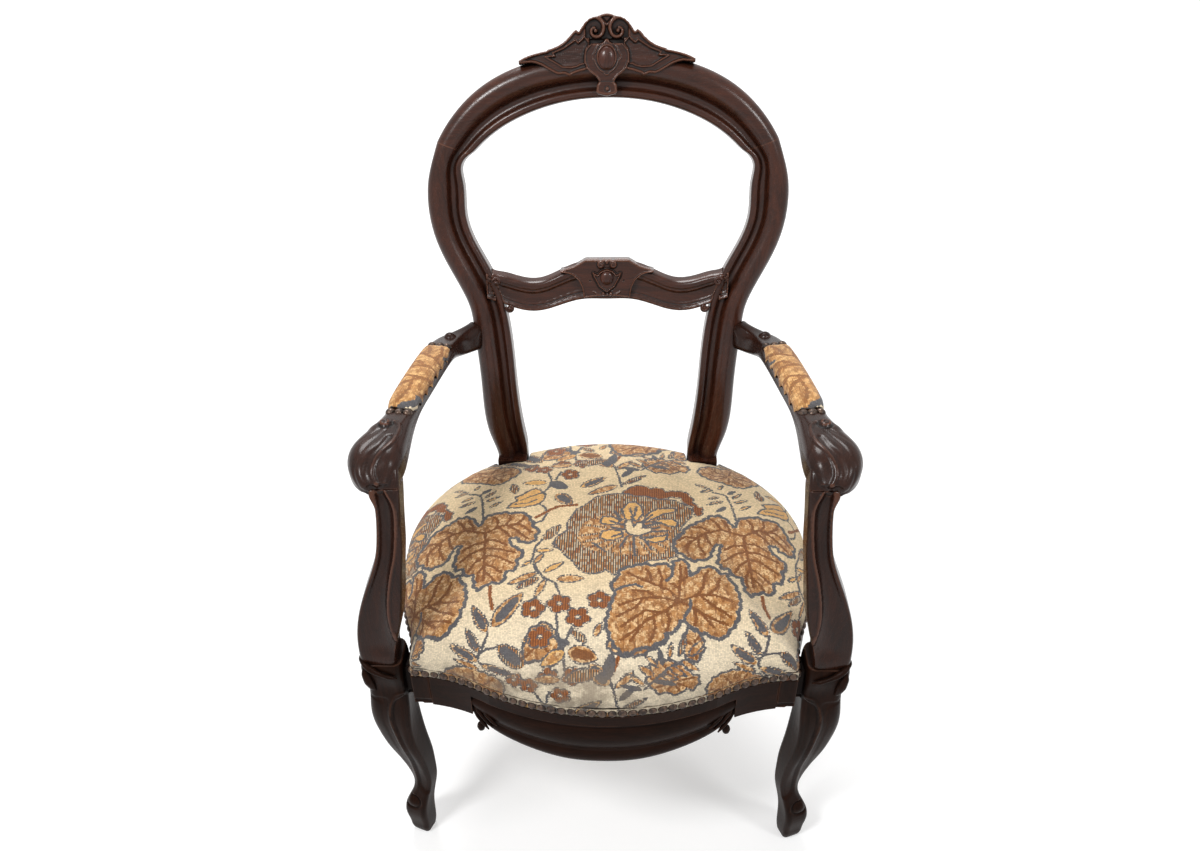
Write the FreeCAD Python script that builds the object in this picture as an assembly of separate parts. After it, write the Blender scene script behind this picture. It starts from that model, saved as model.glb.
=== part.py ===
import FreeCAD, Part
import math
import os

# Balloon-back open armchair in carved walnut with a sprung, close-nailed tapestry seat and padded arms.
# Millimetres. X runs to the viewer's right, Y to the back, Z up from the floor. Left is minus X.
# Heights are from the floor and places are from the middle of the chair.

# Whole chair
half_depth = 325.0
crest_top = 1010.0

# Back: a flat-sided loop that leans back in a smooth curve
seat_line = 425.0
rail_top = 968.0
opening_top = 918.0
balloon_half_width = 238.0
member_width = 50.0
member_depth = 34.0
lean_start = 430.0
lean_full = 753.0
lean_angle = 19.0
stile_middle = 150.0
block_width = 42.0
block_depth = 46.0
block_half_width = 142.0
block_top = 440.0
heel_size = 30.0
rear_leg_size = 36.0
heel_half_width = 150.0

# Cross rail in the back
cross_low = 653.0
cross_high = 727.0
cross_depth = 20.0
cross_bow = 14.0
cross_reach = 165.0
plate_half_width = 65.0
plate_thickness = 6.0
cross_cabochon_width = 18.0
cross_cabochon_height = 19.0
cross_cabochon_rise = 5.0

# Crest carving
carving_half_width = 112.0
carving_low = 919.0
carving_depth = 32.0
carving_back = 10.0
scroll_radius = 11.0
scroll_height = 4.0
cabochon_width = 22.0
cabochon_height = 27.0
cabochon_rise = 6.0

# Seat frame
seat_half_width = 277.0
seat_back = 199.0
rail_bottom = 340.0
show_wood_top = 391.0
seat_rail_top = 402.0
rail_thickness = 28.0
rebate = 3.0
apron_top = 374.0
apron_low = 300.0
apron_half_length = 165.0
post_inner = 218.0
post_reach = 36.0
corner_block_reach = 105.0
corner_block_height = 32.0
batten_half_length = 130.0
batten_width = 16.0
batten_height = 22.0

# Front legs
leg_tuck = 26.0
leg_inset = 93.0
leg_size = 51.0
leg_top = 406.0
leg_sweep = 20.0
post_tie = 24.0
foot_turn = 22.0

# Arm supports
support_half_width = 304.0
support_drop = 15.0
support_depth = 42.0
support_setback = 48.0

# Arms
arm_half_width = 265.0
arm_height = 656.0
arm_width = 41.0
arm_thickness = 23.0
hand_length = 108.0
hand_overhang = 30.0
arm_bite = 16.0
pad_width = 44.0
pad_height = 34.0
pad_rise = 5.0
pad_wrap = 3.0
pad_ledge = 2.0
pad_nail_spacing = 11.0
pad_nail_setback = 5.7
button_diameter = 17.0
button_rise = 6.0

# Upholstery
cover_thickness = 2.0
seat_crown = 459.0
hessian_thickness = 1.5
nail_diameter = 9.5
nail_rise = 3.2
nail_spacing = 12.2
nail_line = 396.6
webbing_width = 50.0
webbing_thickness = 2.0
webbing_pitch = 76.0
webbing_front_row = 150.0
webbing_row_pitch = 90.0
webbing_rows = 3
webbing_margin = 6.0
tack_diameter = 8.0
tack_rise = 1.5
tack_setback = 14.0
tack_spacing = 16.0
spring_wire = 3.6
spring_radius = 32.0
spring_waist = 22.0
spring_turns = 4

# Fasteners and fits
dowel_diameter = 10.0
dowel_length = 44.0
crest_dowel_length = 36.0
cross_dowel_length = 26.0
cross_dowel_setback = 4.0
hand_dowel_length = 34.0
rail_dowel_length = 24.0
screw_diameter = 5.0
screw_length = 44.0
screw_head = 9.0
screw_head_rise = 2.5
screw_sink = 5.0
arm_screw_length = 46.0
fit_clearance = 0.1
soft_clearance = 0.3
slot_room = 2.5
overrun = 5.0

# Places that follow from the sizes above
leg_front = half_depth - leg_inset
leg_half_width = support_half_width - leg_tuck
post_back = post_reach - leg_front
support_front = leg_front
support_top = arm_height - support_drop
arm_back = stile_middle + arm_bite
hand_tip = hand_overhang - leg_front

right = FreeCAD.Vector(1, 0, 0)
back = FreeCAD.Vector(0, 1, 0)
up = FreeCAD.Vector(0, 0, 1)
origin = FreeCAD.Vector(0, 0, 0)


def mirrored(shape):
    return shape.mirror(origin, right)


def box(low, high):
    """A box between two corners."""
    size = high - low
    return Part.makeBox(size.x, size.y, size.z, low)


def rod(centre, direction, diameter, length):
    """A round rod centred on a point."""
    way = FreeCAD.Vector(direction)
    way.normalize()
    return Part.makeCylinder(diameter / 2, length, centre - way * (length / 2), way)


def dome(seat, direction, diameter, rise):
    """A domed head standing on its seat: part of a ball, cut flat."""
    way = FreeCAD.Vector(direction)
    way.normalize()
    ball_radius = (diameter * diameter / 4 + rise * rise) / (2 * rise)
    ball_centre = seat - way * (ball_radius - rise)
    cap = Part.makeSphere(ball_radius, ball_centre, way)
    keep = Part.makeCylinder(ball_radius, ball_radius + rise, seat, way)
    return cap.common(keep)


def rounded_section(centre, across, along_up, width, height, corner_share):
    """A rounded rectangle round a centre: four straight sides and four corner arcs."""
    half_width = width / 2
    half_height = height / 2
    corner = corner_share * min(half_width, half_height)
    inset = corner * (1 - math.sqrt(0.5))
    edges = []
    previous = None
    first = None
    for x_sign, y_sign in ((1, 1), (-1, 1), (-1, -1), (1, -1)):
        side = centre + across * (x_sign * half_width) + along_up * (y_sign * (half_height - corner))
        top = centre + across * (x_sign * (half_width - corner)) + along_up * (y_sign * half_height)
        middle = centre + across * (x_sign * (half_width - inset))
        middle += along_up * (y_sign * (half_height - inset))
        start, end = (side, top) if x_sign * y_sign > 0 else (top, side)
        if previous is None:
            first = start
        else:
            edges.append(straight(previous, start))
        edges.append(arc(start, middle, end))
        previous = end
    edges.append(straight(previous, first))
    return Part.Wire(edges)


def straight(start, end):
    return Part.LineSegment(start, end).toShape()


def arc(start, middle, end):
    return Part.Arc(start, middle, end).toShape()


def loft(wires):
    return Part.makeLoft(wires, True, False)


# The back's lean: upright at the seat, then a parabola, then straight
lean_slope = math.tan(math.radians(lean_angle))


def lean_y(height):
    """Middle plane of the back at a height."""
    bend = lean_slope / (2 * (lean_full - lean_start))
    if height <= lean_start:
        return stile_middle
    if height <= lean_full:
        return stile_middle + bend * (height - lean_start) ** 2
    return stile_middle + bend * (lean_full - lean_start) ** 2 + lean_slope * (height - lean_full)


def lean_front(height):
    """Unit vector out of the front face of the back at a height."""
    share = min(max((height - lean_start) / (lean_full - lean_start), 0), 1)
    out = FreeCAD.Vector(0, -1, lean_slope * share)
    out.normalize()
    return out


def on_back(x, height, forward):
    """A point on the back, a distance forward of its middle plane."""
    return FreeCAD.Vector(x, lean_y(height), height) + lean_front(height) * forward


# Moulded member of the back: torus on the outer side, cove, bead on the inner side.
# Places across are shares of the member's width and depths are shares of half its depth.
torus_start_share = 0.15
torus_crown_shares = (0.30, 1.0)
torus_end_shares = (0.60, 0.25)
cove_shares = (0.70, 0.02)
bead_start_shares = (0.80, 0.15)
bead_crown_shares = (0.90, 0.48)


def moulded_section(outer, inner, depth):
    """Section of the back's member between an outer and an inner point given as (x, height)."""
    middle_height = (outer[1] + inner[1]) / 2
    front = lean_front(middle_height)

    def place(across_share, depth_share):
        x = outer[0] + (inner[0] - outer[0]) * across_share
        height = outer[1] + (inner[1] - outer[1]) * across_share
        return FreeCAD.Vector(x, lean_y(height), height) + front * (depth_share * depth / 2)

    back_outer = place(0, -1)
    outer_lip = place(0, torus_start_share)
    inner_lip = place(1, torus_start_share)
    back_inner = place(1, -1)
    return Part.Wire([
        straight(back_outer, outer_lip),
        arc(outer_lip, place(*torus_crown_shares), place(*torus_end_shares)),
        arc(place(*torus_end_shares), place(*cove_shares), place(*bead_start_shares)),
        arc(place(*bead_start_shares), place(*bead_crown_shares), inner_lip),
        straight(inner_lip, back_inner),
        straight(back_inner, back_outer),
    ])


# Right stile above the seat: height as a share of seat line to rail top, outer half width as a share of
# the balloon's, width as a share of the member's
stile_shares = (
    (0.015, 0.688, 0.85), (0.045, 0.698, 0.92), (0.095, 0.733, 1.02), (0.168, 0.756, 1.04),
    (0.258, 0.761, 1.00), (0.326, 0.770, 1.01), (0.396, 0.783, 1.00), (0.444, 0.798, 0.98),
    (0.488, 0.840, 1.04), (0.534, 0.897, 1.10), (0.593, 0.962, 1.05), (0.659, 1.0, 0.98),
    (0.727, 1.0, 0.96),
)
# Crest joint and crest rail: outer then inner point, half width shares and height shares as above
crest_shares = (
    ((0.933, 0.8195), (0.756, 0.792)), ((0.840, 0.875), (0.693, 0.814)), ((0.685, 0.932), (0.576, 0.849)),
    ((0.483, 0.972), (0.412, 0.880)), ((0.244, 0.994), (0.218, 0.901)),
)


def back_height(share):
    return seat_line + share * (rail_top - seat_line)


def back_outer_x(height):
    """Half width of the back's outer edge at a height below the crest joint."""
    share = (height - seat_line) / (rail_top - seat_line)
    for low, high in zip(stile_shares, stile_shares[1:]):
        if share <= high[0]:
            break
    return balloon_half_width * (low[1] + (high[1] - low[1]) * (share - low[0]) / (high[0] - low[0]))


def crest_pair(shares):
    """Outer and inner point of one crest section."""
    return [(x_share * balloon_half_width, back_height(height_share)) for x_share, height_share in shares]


# Rear leg below the seat, from the block down: height share of the rails' lower edge, backward share of the
# rake, size share between the heel's size and the leg's
rear_leg_shares = (
    (1.0, 0.0, 1.0), (0.80, 0.0, 1.0), (0.66, 0.06, 0.85), (0.50, 0.19, 0.60), (0.34, 0.38, 0.35),
    (0.18, 0.63, 0.10), (0.07, 0.85, 0.02), (0.0, 1.0, 0.0),
)
leg_corner_share = 0.35


def right_stile():
    """Stile and raked rear leg in one piece."""
    wires = []
    for height_share, outer_share, width_share in stile_shares:
        height = back_height(height_share)
        outer = outer_share * balloon_half_width
        inner = outer - width_share * member_width
        wires.append(moulded_section((outer, height), (inner, height), member_depth))
    wires.append(moulded_section(*crest_pair(crest_shares[0]), member_depth))
    upper = loft(wires)

    leg = []
    rake = half_depth - heel_size / 2 - stile_middle
    for height_share, back_share, size_share in rear_leg_shares:
        width = heel_size + (block_width - heel_size) * size_share
        depth = heel_size + (rear_leg_size - heel_size) * size_share
        x = heel_half_width + (block_half_width - heel_half_width) * (1 - back_share)
        centre = FreeCAD.Vector(x, stile_middle + rake * back_share, rail_bottom * height_share)
        leg.append(rounded_section(centre, right, back, width, depth, leg_corner_share))
    lower = loft(leg)
    block = box(
        FreeCAD.Vector(block_half_width - block_width / 2, stile_middle - block_depth / 2, rail_bottom),
        FreeCAD.Vector(block_half_width + block_width / 2, stile_middle + block_depth / 2, block_top),
    )
    return upper.fuse([block, lower]).removeSplitter()


def crest_rail():
    wires = [moulded_section(*crest_pair(shares), member_depth) for shares in crest_shares]
    centre_pair = ((0, rail_top), (0, opening_top))
    wires.append(moulded_section(*centre_pair, member_depth))
    for shares in reversed(crest_shares):
        outer, inner = crest_pair(shares)
        wires.append(moulded_section((-outer[0], outer[1]), (-inner[0], inner[1]), member_depth))
    return loft(wires)


# Carving outline, right half from the top middle round to the pendant: half width shares, height shares
carving_shares = (
    (0.0, 0.93), (0.06, 0.99), (0.14, 1.0), (0.235, 0.93), (0.26, 0.80), (0.33, 0.72), (0.46, 0.66),
    (0.50, 0.585), (0.68, 0.54), (0.86, 0.49), (1.0, 0.45), (0.97, 0.39), (0.80, 0.33), (0.62, 0.36),
    (0.46, 0.28), (0.32, 0.24), (0.20, 0.13), (0.11, 0.10), (0.10, 0.03), (0.05, 0.0),
)


def carving_point(x_share, height_share, forward):
    height = carving_low + (crest_top - carving_low) * height_share
    return on_back(x_share * carving_half_width, height, forward)


def carving_solid():
    """The carved cartouche and wings before it is let onto the crest rail."""
    layers = []
    for forward in (-carving_back, carving_depth - carving_back):
        points = [carving_point(x, h, forward) for x, h in carving_shares]
        points += [carving_point(-x, h, forward) for x, h in reversed(carving_shares) if x > 0]
        layers.append(Part.makePolygon(points + [points[0]]))
    return Part.makeLoft(layers, True, True)


# Middle of the right scroll, and height of the oval boss, on the carving
scroll_place_shares = (0.125, 0.872)
cabochon_place_share = 0.456


def oval_dome(place, front, width, height, rise):
    """An oval boss on a face: a stretched half ball."""
    radius = width / 2
    upper_half = Part.makeBox(width, width, width, FreeCAD.Vector(-radius, -radius, 0))
    matrix = FreeCAD.Matrix()
    matrix.scale(1, height / width, rise / radius)
    stretched = Part.makeSphere(radius).common(upper_half).transformGeometry(matrix)
    stretched.Placement = FreeCAD.Placement(place, FreeCAD.Rotation(up, front))
    return stretched


# Cross rail: place along the half length, low and high edge as shares of its height range
cross_shares = (
    (0.0, 0.26, 0.86), (0.20, 0.26, 0.88), (0.40, 0.16, 0.74), (0.57, 0.08, 0.62), (0.72, 0.12, 0.66),
    (0.86, 0.24, 0.76), (1.0, 0.36, 0.90),
)
cross_corner_share = 0.5


def cross_height(share):
    return cross_low + (cross_high - cross_low) * share


def cross_y(x_share, height):
    """The cross rail bows back between the stiles."""
    return lean_y(height) + cross_bow * (1 - x_share * x_share)


def cross_rail():
    wires = []
    stations = [(-x, low, high) for x, low, high in reversed(cross_shares) if x > 0] + list(cross_shares)
    for x_share, low_share, high_share in stations:
        low = cross_height(low_share)
        high = cross_height(high_share)
        middle = (low + high) / 2
        centre = FreeCAD.Vector(x_share * cross_reach, cross_y(x_share, middle), middle)
        slope_up = lean_front(middle).cross(right) * -1
        wires.append(rounded_section(centre, slope_up, back, high - low, cross_depth, cross_corner_share))
    return loft(wires)


# Plate on the cross rail, right half: half width shares and height shares
plate_middle_share = 0.5
plate_boss_share = 0.64
plate_shares = (
    (0.0, 0.93), (0.16, 1.0), (0.42, 0.97), (0.55, 0.88), (0.80, 0.80), (1.0, 0.68), (0.78, 0.56),
    (0.60, 0.38), (0.40, 0.27), (0.20, 0.22),
)


def plate_front():
    return lean_front(cross_height(plate_middle_share))


def plate_point(x_share, height_share, forward):
    """A point on the flat face of the plate, a distance forward of the rail's middle."""
    middle = cross_height(plate_middle_share)
    front = plate_front()
    height = cross_height(height_share)
    y = lean_y(middle) + cross_bow - front.z / front.y * (height - middle)
    return FreeCAD.Vector(x_share * plate_half_width, y, height) + front * forward


def cross_plate():
    front_shift = cross_depth / 2
    layers = []
    for forward in (-front_shift, front_shift + plate_thickness):
        points = list(plate_shares) + [(-x, h) for x, h in reversed(plate_shares) if x > 0]
        wire = [plate_point(x_share, height_share, forward) for x_share, height_share in points]
        layers.append(Part.makePolygon(wire + [wire[0]]))
    return Part.makeLoft(layers, True, True)


# Seat outline, right half: end point of each stretch and a point it bends through, as shares of the half
# width and of the depth behind the front
front_arc_shares = (0.505, 0.061)
corner_arc_shares = ((0.704, 0.107), (0.872, 0.120))
post_line_shares = (0.893, 0.232)
side_arc_shares = ((0.964, 0.347), (1.0, 0.518))
hip_arc_shares = ((0.953, 0.690), (0.765, 0.846))
seat_front = half_depth - nail_rise + rebate - cover_thickness
seat_middle = (seat_back - seat_front) / 2


def seat_place(shares, side, inset, scale):
    """A point of the seat outline, moved inward and drawn in towards the seat's middle."""
    x = side * shares[0] * seat_half_width
    y = -seat_front + shares[1] * (seat_front + seat_back)
    x_reach = seat_half_width
    y_reach = (seat_front + seat_back) / 2
    return (x * (scale - inset / x_reach), seat_middle + (y - seat_middle) * (scale - inset / y_reach))


def seat_wire(height, inset, scale=1):
    """The seat's outline at a height: arcs, and a straight stretch beside each front leg."""
    def at(shares, side):
        x, y = seat_place(shares, side, inset, scale)
        return FreeCAD.Vector(x, y, height)

    corner_bend, corner_end = corner_arc_shares
    side_bend, side_end = side_arc_shares
    hip_bend, hip_end = hip_arc_shares
    return Part.Wire([
        arc(at(front_arc_shares, -1), at((0, 0), 1), at(front_arc_shares, 1)),
        arc(at(front_arc_shares, 1), at(corner_bend, 1), at(corner_end, 1)),
        straight(at(corner_end, 1), at(post_line_shares, 1)),
        arc(at(post_line_shares, 1), at(side_bend, 1), at(side_end, 1)),
        arc(at(side_end, 1), at(hip_bend, 1), at(hip_end, 1)),
        arc(at(hip_end, 1), at((0, 1), 1), at(hip_end, -1)),
        arc(at(hip_end, -1), at(hip_bend, -1), at(side_end, -1)),
        arc(at(side_end, -1), at(side_bend, -1), at(post_line_shares, -1)),
        straight(at(post_line_shares, -1), at(corner_end, -1)),
        arc(at(corner_end, -1), at(corner_bend, -1), at(front_arc_shares, -1)),
    ])


def seat_slab(low, high, inset):
    """The area inside the outline between two heights."""
    return Part.Face(seat_wire(low, inset)).extrude(up * (high - low))


def seat_ring(low):
    """Rails as one ring from a lower edge to the rebated top, to be cut into its timbers."""
    ring = seat_slab(low, show_wood_top, 0).fuse(seat_slab(show_wood_top, seat_rail_top, rebate))
    return ring.cut(seat_slab(low - overrun, seat_rail_top + overrun, rail_thickness)).removeSplitter()


# Apron moulding of the front rail, as shares: depth behind the face over the rail's thickness, and height
# over the apron's height. Arcs bulge between their ends.
apron_top_share = 0.16
apron_back_share = 0.88
apron_tie_share = 1.06
torus_in_share = 0.20
apron_torus_shares = (0.88, 0.03, 0.60, 0.34)
apron_reed_shares = (0.28, 0.08, 0.14, 0.0)
apron_reed_in_share = 0.18
# Lower edge of the front rail: half length share, rise share of apron height
apron_edge_shares = ((0.0, 0.0), (0.25, 0.01), (0.50, 0.09), (0.72, 0.20), (0.88, 0.32), (1.0, 0.56))


def apron():
    """Moulded lower part of the front rail, following the serpentine front."""
    apron_height = apron_top - apron_low
    stations = [(-x, rise) for x, rise in reversed(apron_edge_shares) if x > 0] + list(apron_edge_shares)
    front_wire = seat_wire(0, 0)
    wires = []
    for x_share, rise_share in stations:
        x = x_share * apron_half_length
        cutter = straight(FreeCAD.Vector(x, -half_depth - overrun, 0), FreeCAD.Vector(x, seat_middle, 0))
        face = front_wire.distToShape(cutter)[1][0][0].y
        low = apron_low + rise_share * apron_height
        span = apron_top - low

        def at(depth_share, height_share):
            return FreeCAD.Vector(x, face + depth_share * rail_thickness, low + height_share * span)

        torus_top, torus_out, torus_mid, torus_low = apron_torus_shares
        reed_top, reed_out, reed_mid, reed_low = apron_reed_shares
        back_top = at(apron_back_share, apron_tie_share)
        front_top = at(apron_top_share, apron_tie_share)
        torus_start = at(torus_in_share, torus_top)
        torus_end = at(torus_in_share, torus_low)
        reed_start = at(apron_reed_in_share, reed_top)
        reed_end = at(apron_reed_in_share, reed_low)
        back_low = at(apron_back_share, 0)
        wires.append(Part.Wire([
            straight(back_top, front_top),
            straight(front_top, torus_start),
            arc(torus_start, at(torus_out, torus_mid), torus_end),
            straight(torus_end, reed_start),
            arc(reed_start, at(reed_out, reed_mid), reed_end),
            straight(reed_end, back_low),
            straight(back_low, back_top),
        ]))
    return loft(wires)


# Front leg, top to bottom: height share of the leg, sweep shares inward and backward, size share, turn share
leg_shares = (
    (1.0, 0.05, 0.0, 0.98, 0.0), (0.90, 0.05, 0.0, 0.96, 0.0), (0.81, 0.0, 0.0, 1.0, 0.0),
    (0.727, 0.0, 0.05, 1.02, 0.4), (0.645, 0.12, 0.15, 0.96, 0.8), (0.554, 0.36, 0.30, 0.87, 1.0),
    (0.468, 0.65, 0.55, 0.75, 1.0), (0.382, 0.84, 0.75, 0.62, 1.0), (0.308, 0.88, 0.90, 0.54, 1.0),
    (0.241, 0.62, 0.95, 0.54, 1.0), (0.177, 0.20, 0.90, 0.66, 1.0), (0.118, 0.05, 0.90, 0.69, 1.0),
    (0.054, 0.10, 0.95, 0.62, 1.0), (0.0, 0.15, 1.0, 0.47, 1.0),
)
knee_corner_share = 0.45


def right_front_leg():
    """Cabriole leg with the corner post that holds the seat rails."""
    wires = []
    for height_share, inward_share, backward_share, size_share, turn_share in leg_shares:
        centre = FreeCAD.Vector(
            leg_half_width - leg_sweep * inward_share,
            -leg_front + leg_sweep * backward_share,
            leg_top * height_share,
        )
        turn = math.radians(foot_turn * turn_share)
        across = FreeCAD.Vector(math.cos(turn), math.sin(turn), 0)
        along = FreeCAD.Vector(-math.sin(turn), math.cos(turn), 0)
        size = leg_size * size_share
        wires.append(rounded_section(centre, across, along, size, size, knee_corner_share))
    post = seat_slab(rail_bottom, show_wood_top, 0).fuse(seat_slab(show_wood_top, seat_rail_top, rebate))
    post_box = box(
        FreeCAD.Vector(post_inner, -half_depth, rail_bottom),
        FreeCAD.Vector(leg_half_width - leg_size / 2 + post_tie, post_back, seat_rail_top),
    )
    tie = box(
        FreeCAD.Vector(leg_half_width - leg_size / 2 - post_tie, -leg_front - post_tie / 2, rail_bottom),
        FreeCAD.Vector(leg_half_width, -leg_front + post_tie / 2, show_wood_top),
    )
    return loft(wires).fuse([post.common(post_box), tie]).removeSplitter()


# Arm support, bottom to top: height share, inner and outer half width shares, setback share, depth share.
# The last two rows are above the joint and belong to the arm.
support_shares = (
    (0.0, 0.847, 0.998, 0.0, 1.10), (0.10, 0.842, 0.997, 0.0, 1.06), (0.27, 0.807, 0.982, 0.08, 1.0),
    (0.48, 0.786, 0.928, 0.30, 0.92), (0.67, 0.772, 0.876, 0.55, 0.86), (0.86, 0.766, 0.862, 0.80, 0.84),
    (1.0, 0.762, 0.868, 1.0, 0.88), (1.05, 0.764, 0.870, 1.14, 0.86), (1.09, 0.768, 0.860, 1.32, 0.78),
)
support_joint_share = 0.815
support_corner_share = 0.32


def right_support():
    """The support and, above the joint, the part of the arm that grows out of it."""
    wires = []
    for height_share, inner_share, outer_share, back_share, depth_share in support_shares:
        inner = inner_share * support_half_width
        outer = outer_share * support_half_width
        height = leg_top + (support_top - leg_top) * height_share
        centre = FreeCAD.Vector((inner + outer) / 2, -support_front + support_setback * back_share, height)
        wires.append(rounded_section(
            centre, right, back, outer - inner, support_depth * depth_share, support_corner_share
        ))
    whole = loft(wires)
    above = box(
        FreeCAD.Vector(0, -half_depth, support_top),
        FreeCAD.Vector(half_depth, half_depth, crest_top),
    )
    return whole.cut(above), whole.common(above)


# Arm, back to front: half width share, forward share from the stile to the hand's tip, drop below the arm's
# height as a share of the hand's length, width share, thickness share
arm_shares = (
    (0.696, 0.0, 0.25, 0.66, 1.70), (0.745, 0.05, 0.23, 0.74, 1.45), (0.808, 0.12, 0.175, 0.86, 1.20),
    (0.838, 0.245, 0.05, 0.90, 1.05), (0.868, 0.375, 0.02, 0.90, 1.0), (0.895, 0.495, 0.0, 0.90, 1.0),
    (0.919, 0.595, 0.0, 0.90, 1.0), (0.930, 0.663, 0.01, 0.92, 1.06), (0.940, 0.734, 0.0, 1.04, 1.40),
    (0.963, 0.82, 0.01, 1.36, 1.80), (0.985, 0.90, 0.035, 1.58, 2.05), (0.980, 0.957, 0.085, 1.34, 1.75),
    (0.965, 1.0, 0.13, 0.70, 0.95),
)
arm_corner_share = 0.75
pad_range = (3, 7)


def arm_stations():
    """Centre, width and thickness of each arm section."""
    stations = []
    for x_share, forward_share, drop_share, width_share, thickness_share in arm_shares:
        centre = FreeCAD.Vector(
            arm_half_width * x_share,
            arm_back + (hand_tip - arm_back) * forward_share,
            arm_height - hand_length * drop_share,
        )
        stations.append((centre, arm_width * width_share, arm_thickness * thickness_share))
    return stations


def section_frame(centres, index):
    """Directions across and up at one place along a path, from its neighbours."""
    ahead = centres[min(index + 1, len(centres) - 1)] - centres[max(index - 1, 0)]
    ahead.normalize()
    across = ahead.cross(up)
    across.normalize()
    return across, across.cross(ahead)


def right_arm():
    stations = arm_stations()
    centres = [station[0] for station in stations]
    wires = []
    for index, (centre, width, thickness) in enumerate(stations):
        across, rise = section_frame(centres, index)
        wires.append(rounded_section(centre, across, rise, width, thickness, arm_corner_share))
    return loft(wires)


# Arm pad along its stretch of the arm: place share, width share, height share
pad_shares = (
    (0.0, 0.98, 0.70), (0.10, 1.0, 0.88), (0.30, 1.0, 1.0), (0.55, 1.0, 1.02), (0.78, 1.0, 0.98),
    (0.93, 0.95, 0.82), (1.0, 0.85, 0.60),
)
pad_corner_share = 0.9
pad_under_shares = (-0.05, 0.3, 0.55, 0.8, 1.05)


def pad_place(share):
    """Centre and directions at a place along the padded stretch."""
    stations = arm_stations()
    centres = [station[0] for station in stations]
    first, last = pad_range
    reach = share * (last - first)
    index = min(first + int(max(reach, 0)), last - 1)
    part_share = reach - (index - first)
    centre = centres[index] * (1 - part_share) + centres[index + 1] * part_share
    across, rise = section_frame(centres, index)
    next_across, next_rise = section_frame(centres, index + 1)
    across = across * (1 - part_share) + next_across * part_share
    rise = rise * (1 - part_share) + next_rise * part_share
    return centre, across, rise


def pad_form(inset):
    wires = []
    for place_share, width_share, height_share in pad_shares:
        centre, across, rise = pad_place(place_share)
        width = pad_width * width_share - 2 * inset
        height = pad_height * height_share - 2 * inset
        middle = centre + rise * pad_rise
        wires.append(rounded_section(middle, across, rise, width, height, pad_corner_share))
    return loft(wires)


def pad_under(depth):
    """Everything more than a depth below the padded stretch's middle line."""
    wires = []
    for place_share in pad_under_shares:
        centre, across, rise = pad_place(place_share)
        low = centre - rise * (depth + pad_height)
        high = centre - rise * depth
        reach = across * pad_width
        wires.append(Part.makePolygon([low - reach, low + reach, high + reach, high - reach, low - reach]))
    return Part.makeLoft(wires, True, True)


# Seat crown: height share from the show wood to the crown, scale share of the outline
crown_shares = (
    (0.0, 1.0), (0.19, 1.0), (0.32, 1.003), (0.46, 0.993), (0.60, 0.955), (0.74, 0.88), (0.86, 0.76),
    (0.95, 0.58), (0.99, 0.34), (1.0, 0.12),
)


def seat_form(inset, drop):
    """Crowned seat body, drawn in all round by an inset and lowered by a drop at the top."""
    wires = []
    for height_share, scale_share in crown_shares:
        height = show_wood_top + (seat_crown - drop - show_wood_top) * height_share
        wires.append(seat_wire(height, inset, scale_share))
    return Part.makeLoft(wires, True, True)


# Coil springs: each turn is four pairs of tangent arcs
def tangent_arc(start, heading, end):
    """The arc from a start with a heading to an end."""
    chord = end - start
    side = heading.cross(chord).cross(heading)
    side.normalize()
    radius = chord.dot(chord) / (2 * chord.dot(side))
    centre = start + side * radius
    middle = (start + end) / 2 - centre
    middle.normalize()
    return arc(start, centre + middle * radius, end)


def biarc(start, start_heading, end, end_heading):
    """Two arcs that meet with one heading, from one point and heading to another."""
    gap = end - start
    headings = start_heading + end_heading
    square = 2 * (1 - start_heading.dot(end_heading))
    linear = 2 * gap.dot(headings)
    reach = (-linear + math.sqrt(linear * linear + 4 * square * gap.dot(gap))) / (2 * square)
    joint = (start + start_heading * reach + end - end_heading * reach) / 2
    turned = joint - start
    heading = turned * (2 * turned.dot(start_heading) / turned.dot(turned)) - start_heading
    return [tangent_arc(start, start_heading, joint), tangent_arc(joint, heading, end)]


def spring(centre, low, high):
    """Waisted coil spring standing between two heights, and the gap between its turns."""
    quarters = spring_turns * 4
    rise = (high - low - spring_wire) / quarters

    def at(step):
        level = 2 * step / quarters - 1
        radius = spring_waist + (spring_radius - spring_waist) * level * level
        angle = step * math.pi / 2
        return centre + FreeCAD.Vector(
            radius * math.cos(angle), radius * math.sin(angle), low + spring_wire / 2 + rise * step
        )

    def heading(step):
        level = 2 * step / quarters - 1
        radius = spring_waist + (spring_radius - spring_waist) * level * level
        widening = (spring_radius - spring_waist) * 4 * level / quarters
        angle = step * math.pi / 2
        way = FreeCAD.Vector(
            widening * math.cos(angle) - radius * math.sin(angle) * math.pi / 2,
            widening * math.sin(angle) + radius * math.cos(angle) * math.pi / 2,
            rise,
        )
        way.normalize()
        return way

    edges = []
    for step in range(quarters):
        edges += biarc(at(step), heading(step), at(step + 1), heading(step + 1))
    path = Part.Wire(edges)
    section = Part.Wire([Part.Circle(at(0), heading(0), spring_wire / 2).toShape()])
    turn_gap = (high - low - spring_wire) / spring_turns - spring_wire
    return path.makePipeShell([section], True, False), turn_gap


# Upholstery nails: one dome, copied along a row
def stud(master, seat, direction):
    copy = master.copy()
    copy.Placement = FreeCAD.Placement(seat, FreeCAD.Rotation(up, direction))
    return copy


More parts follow.
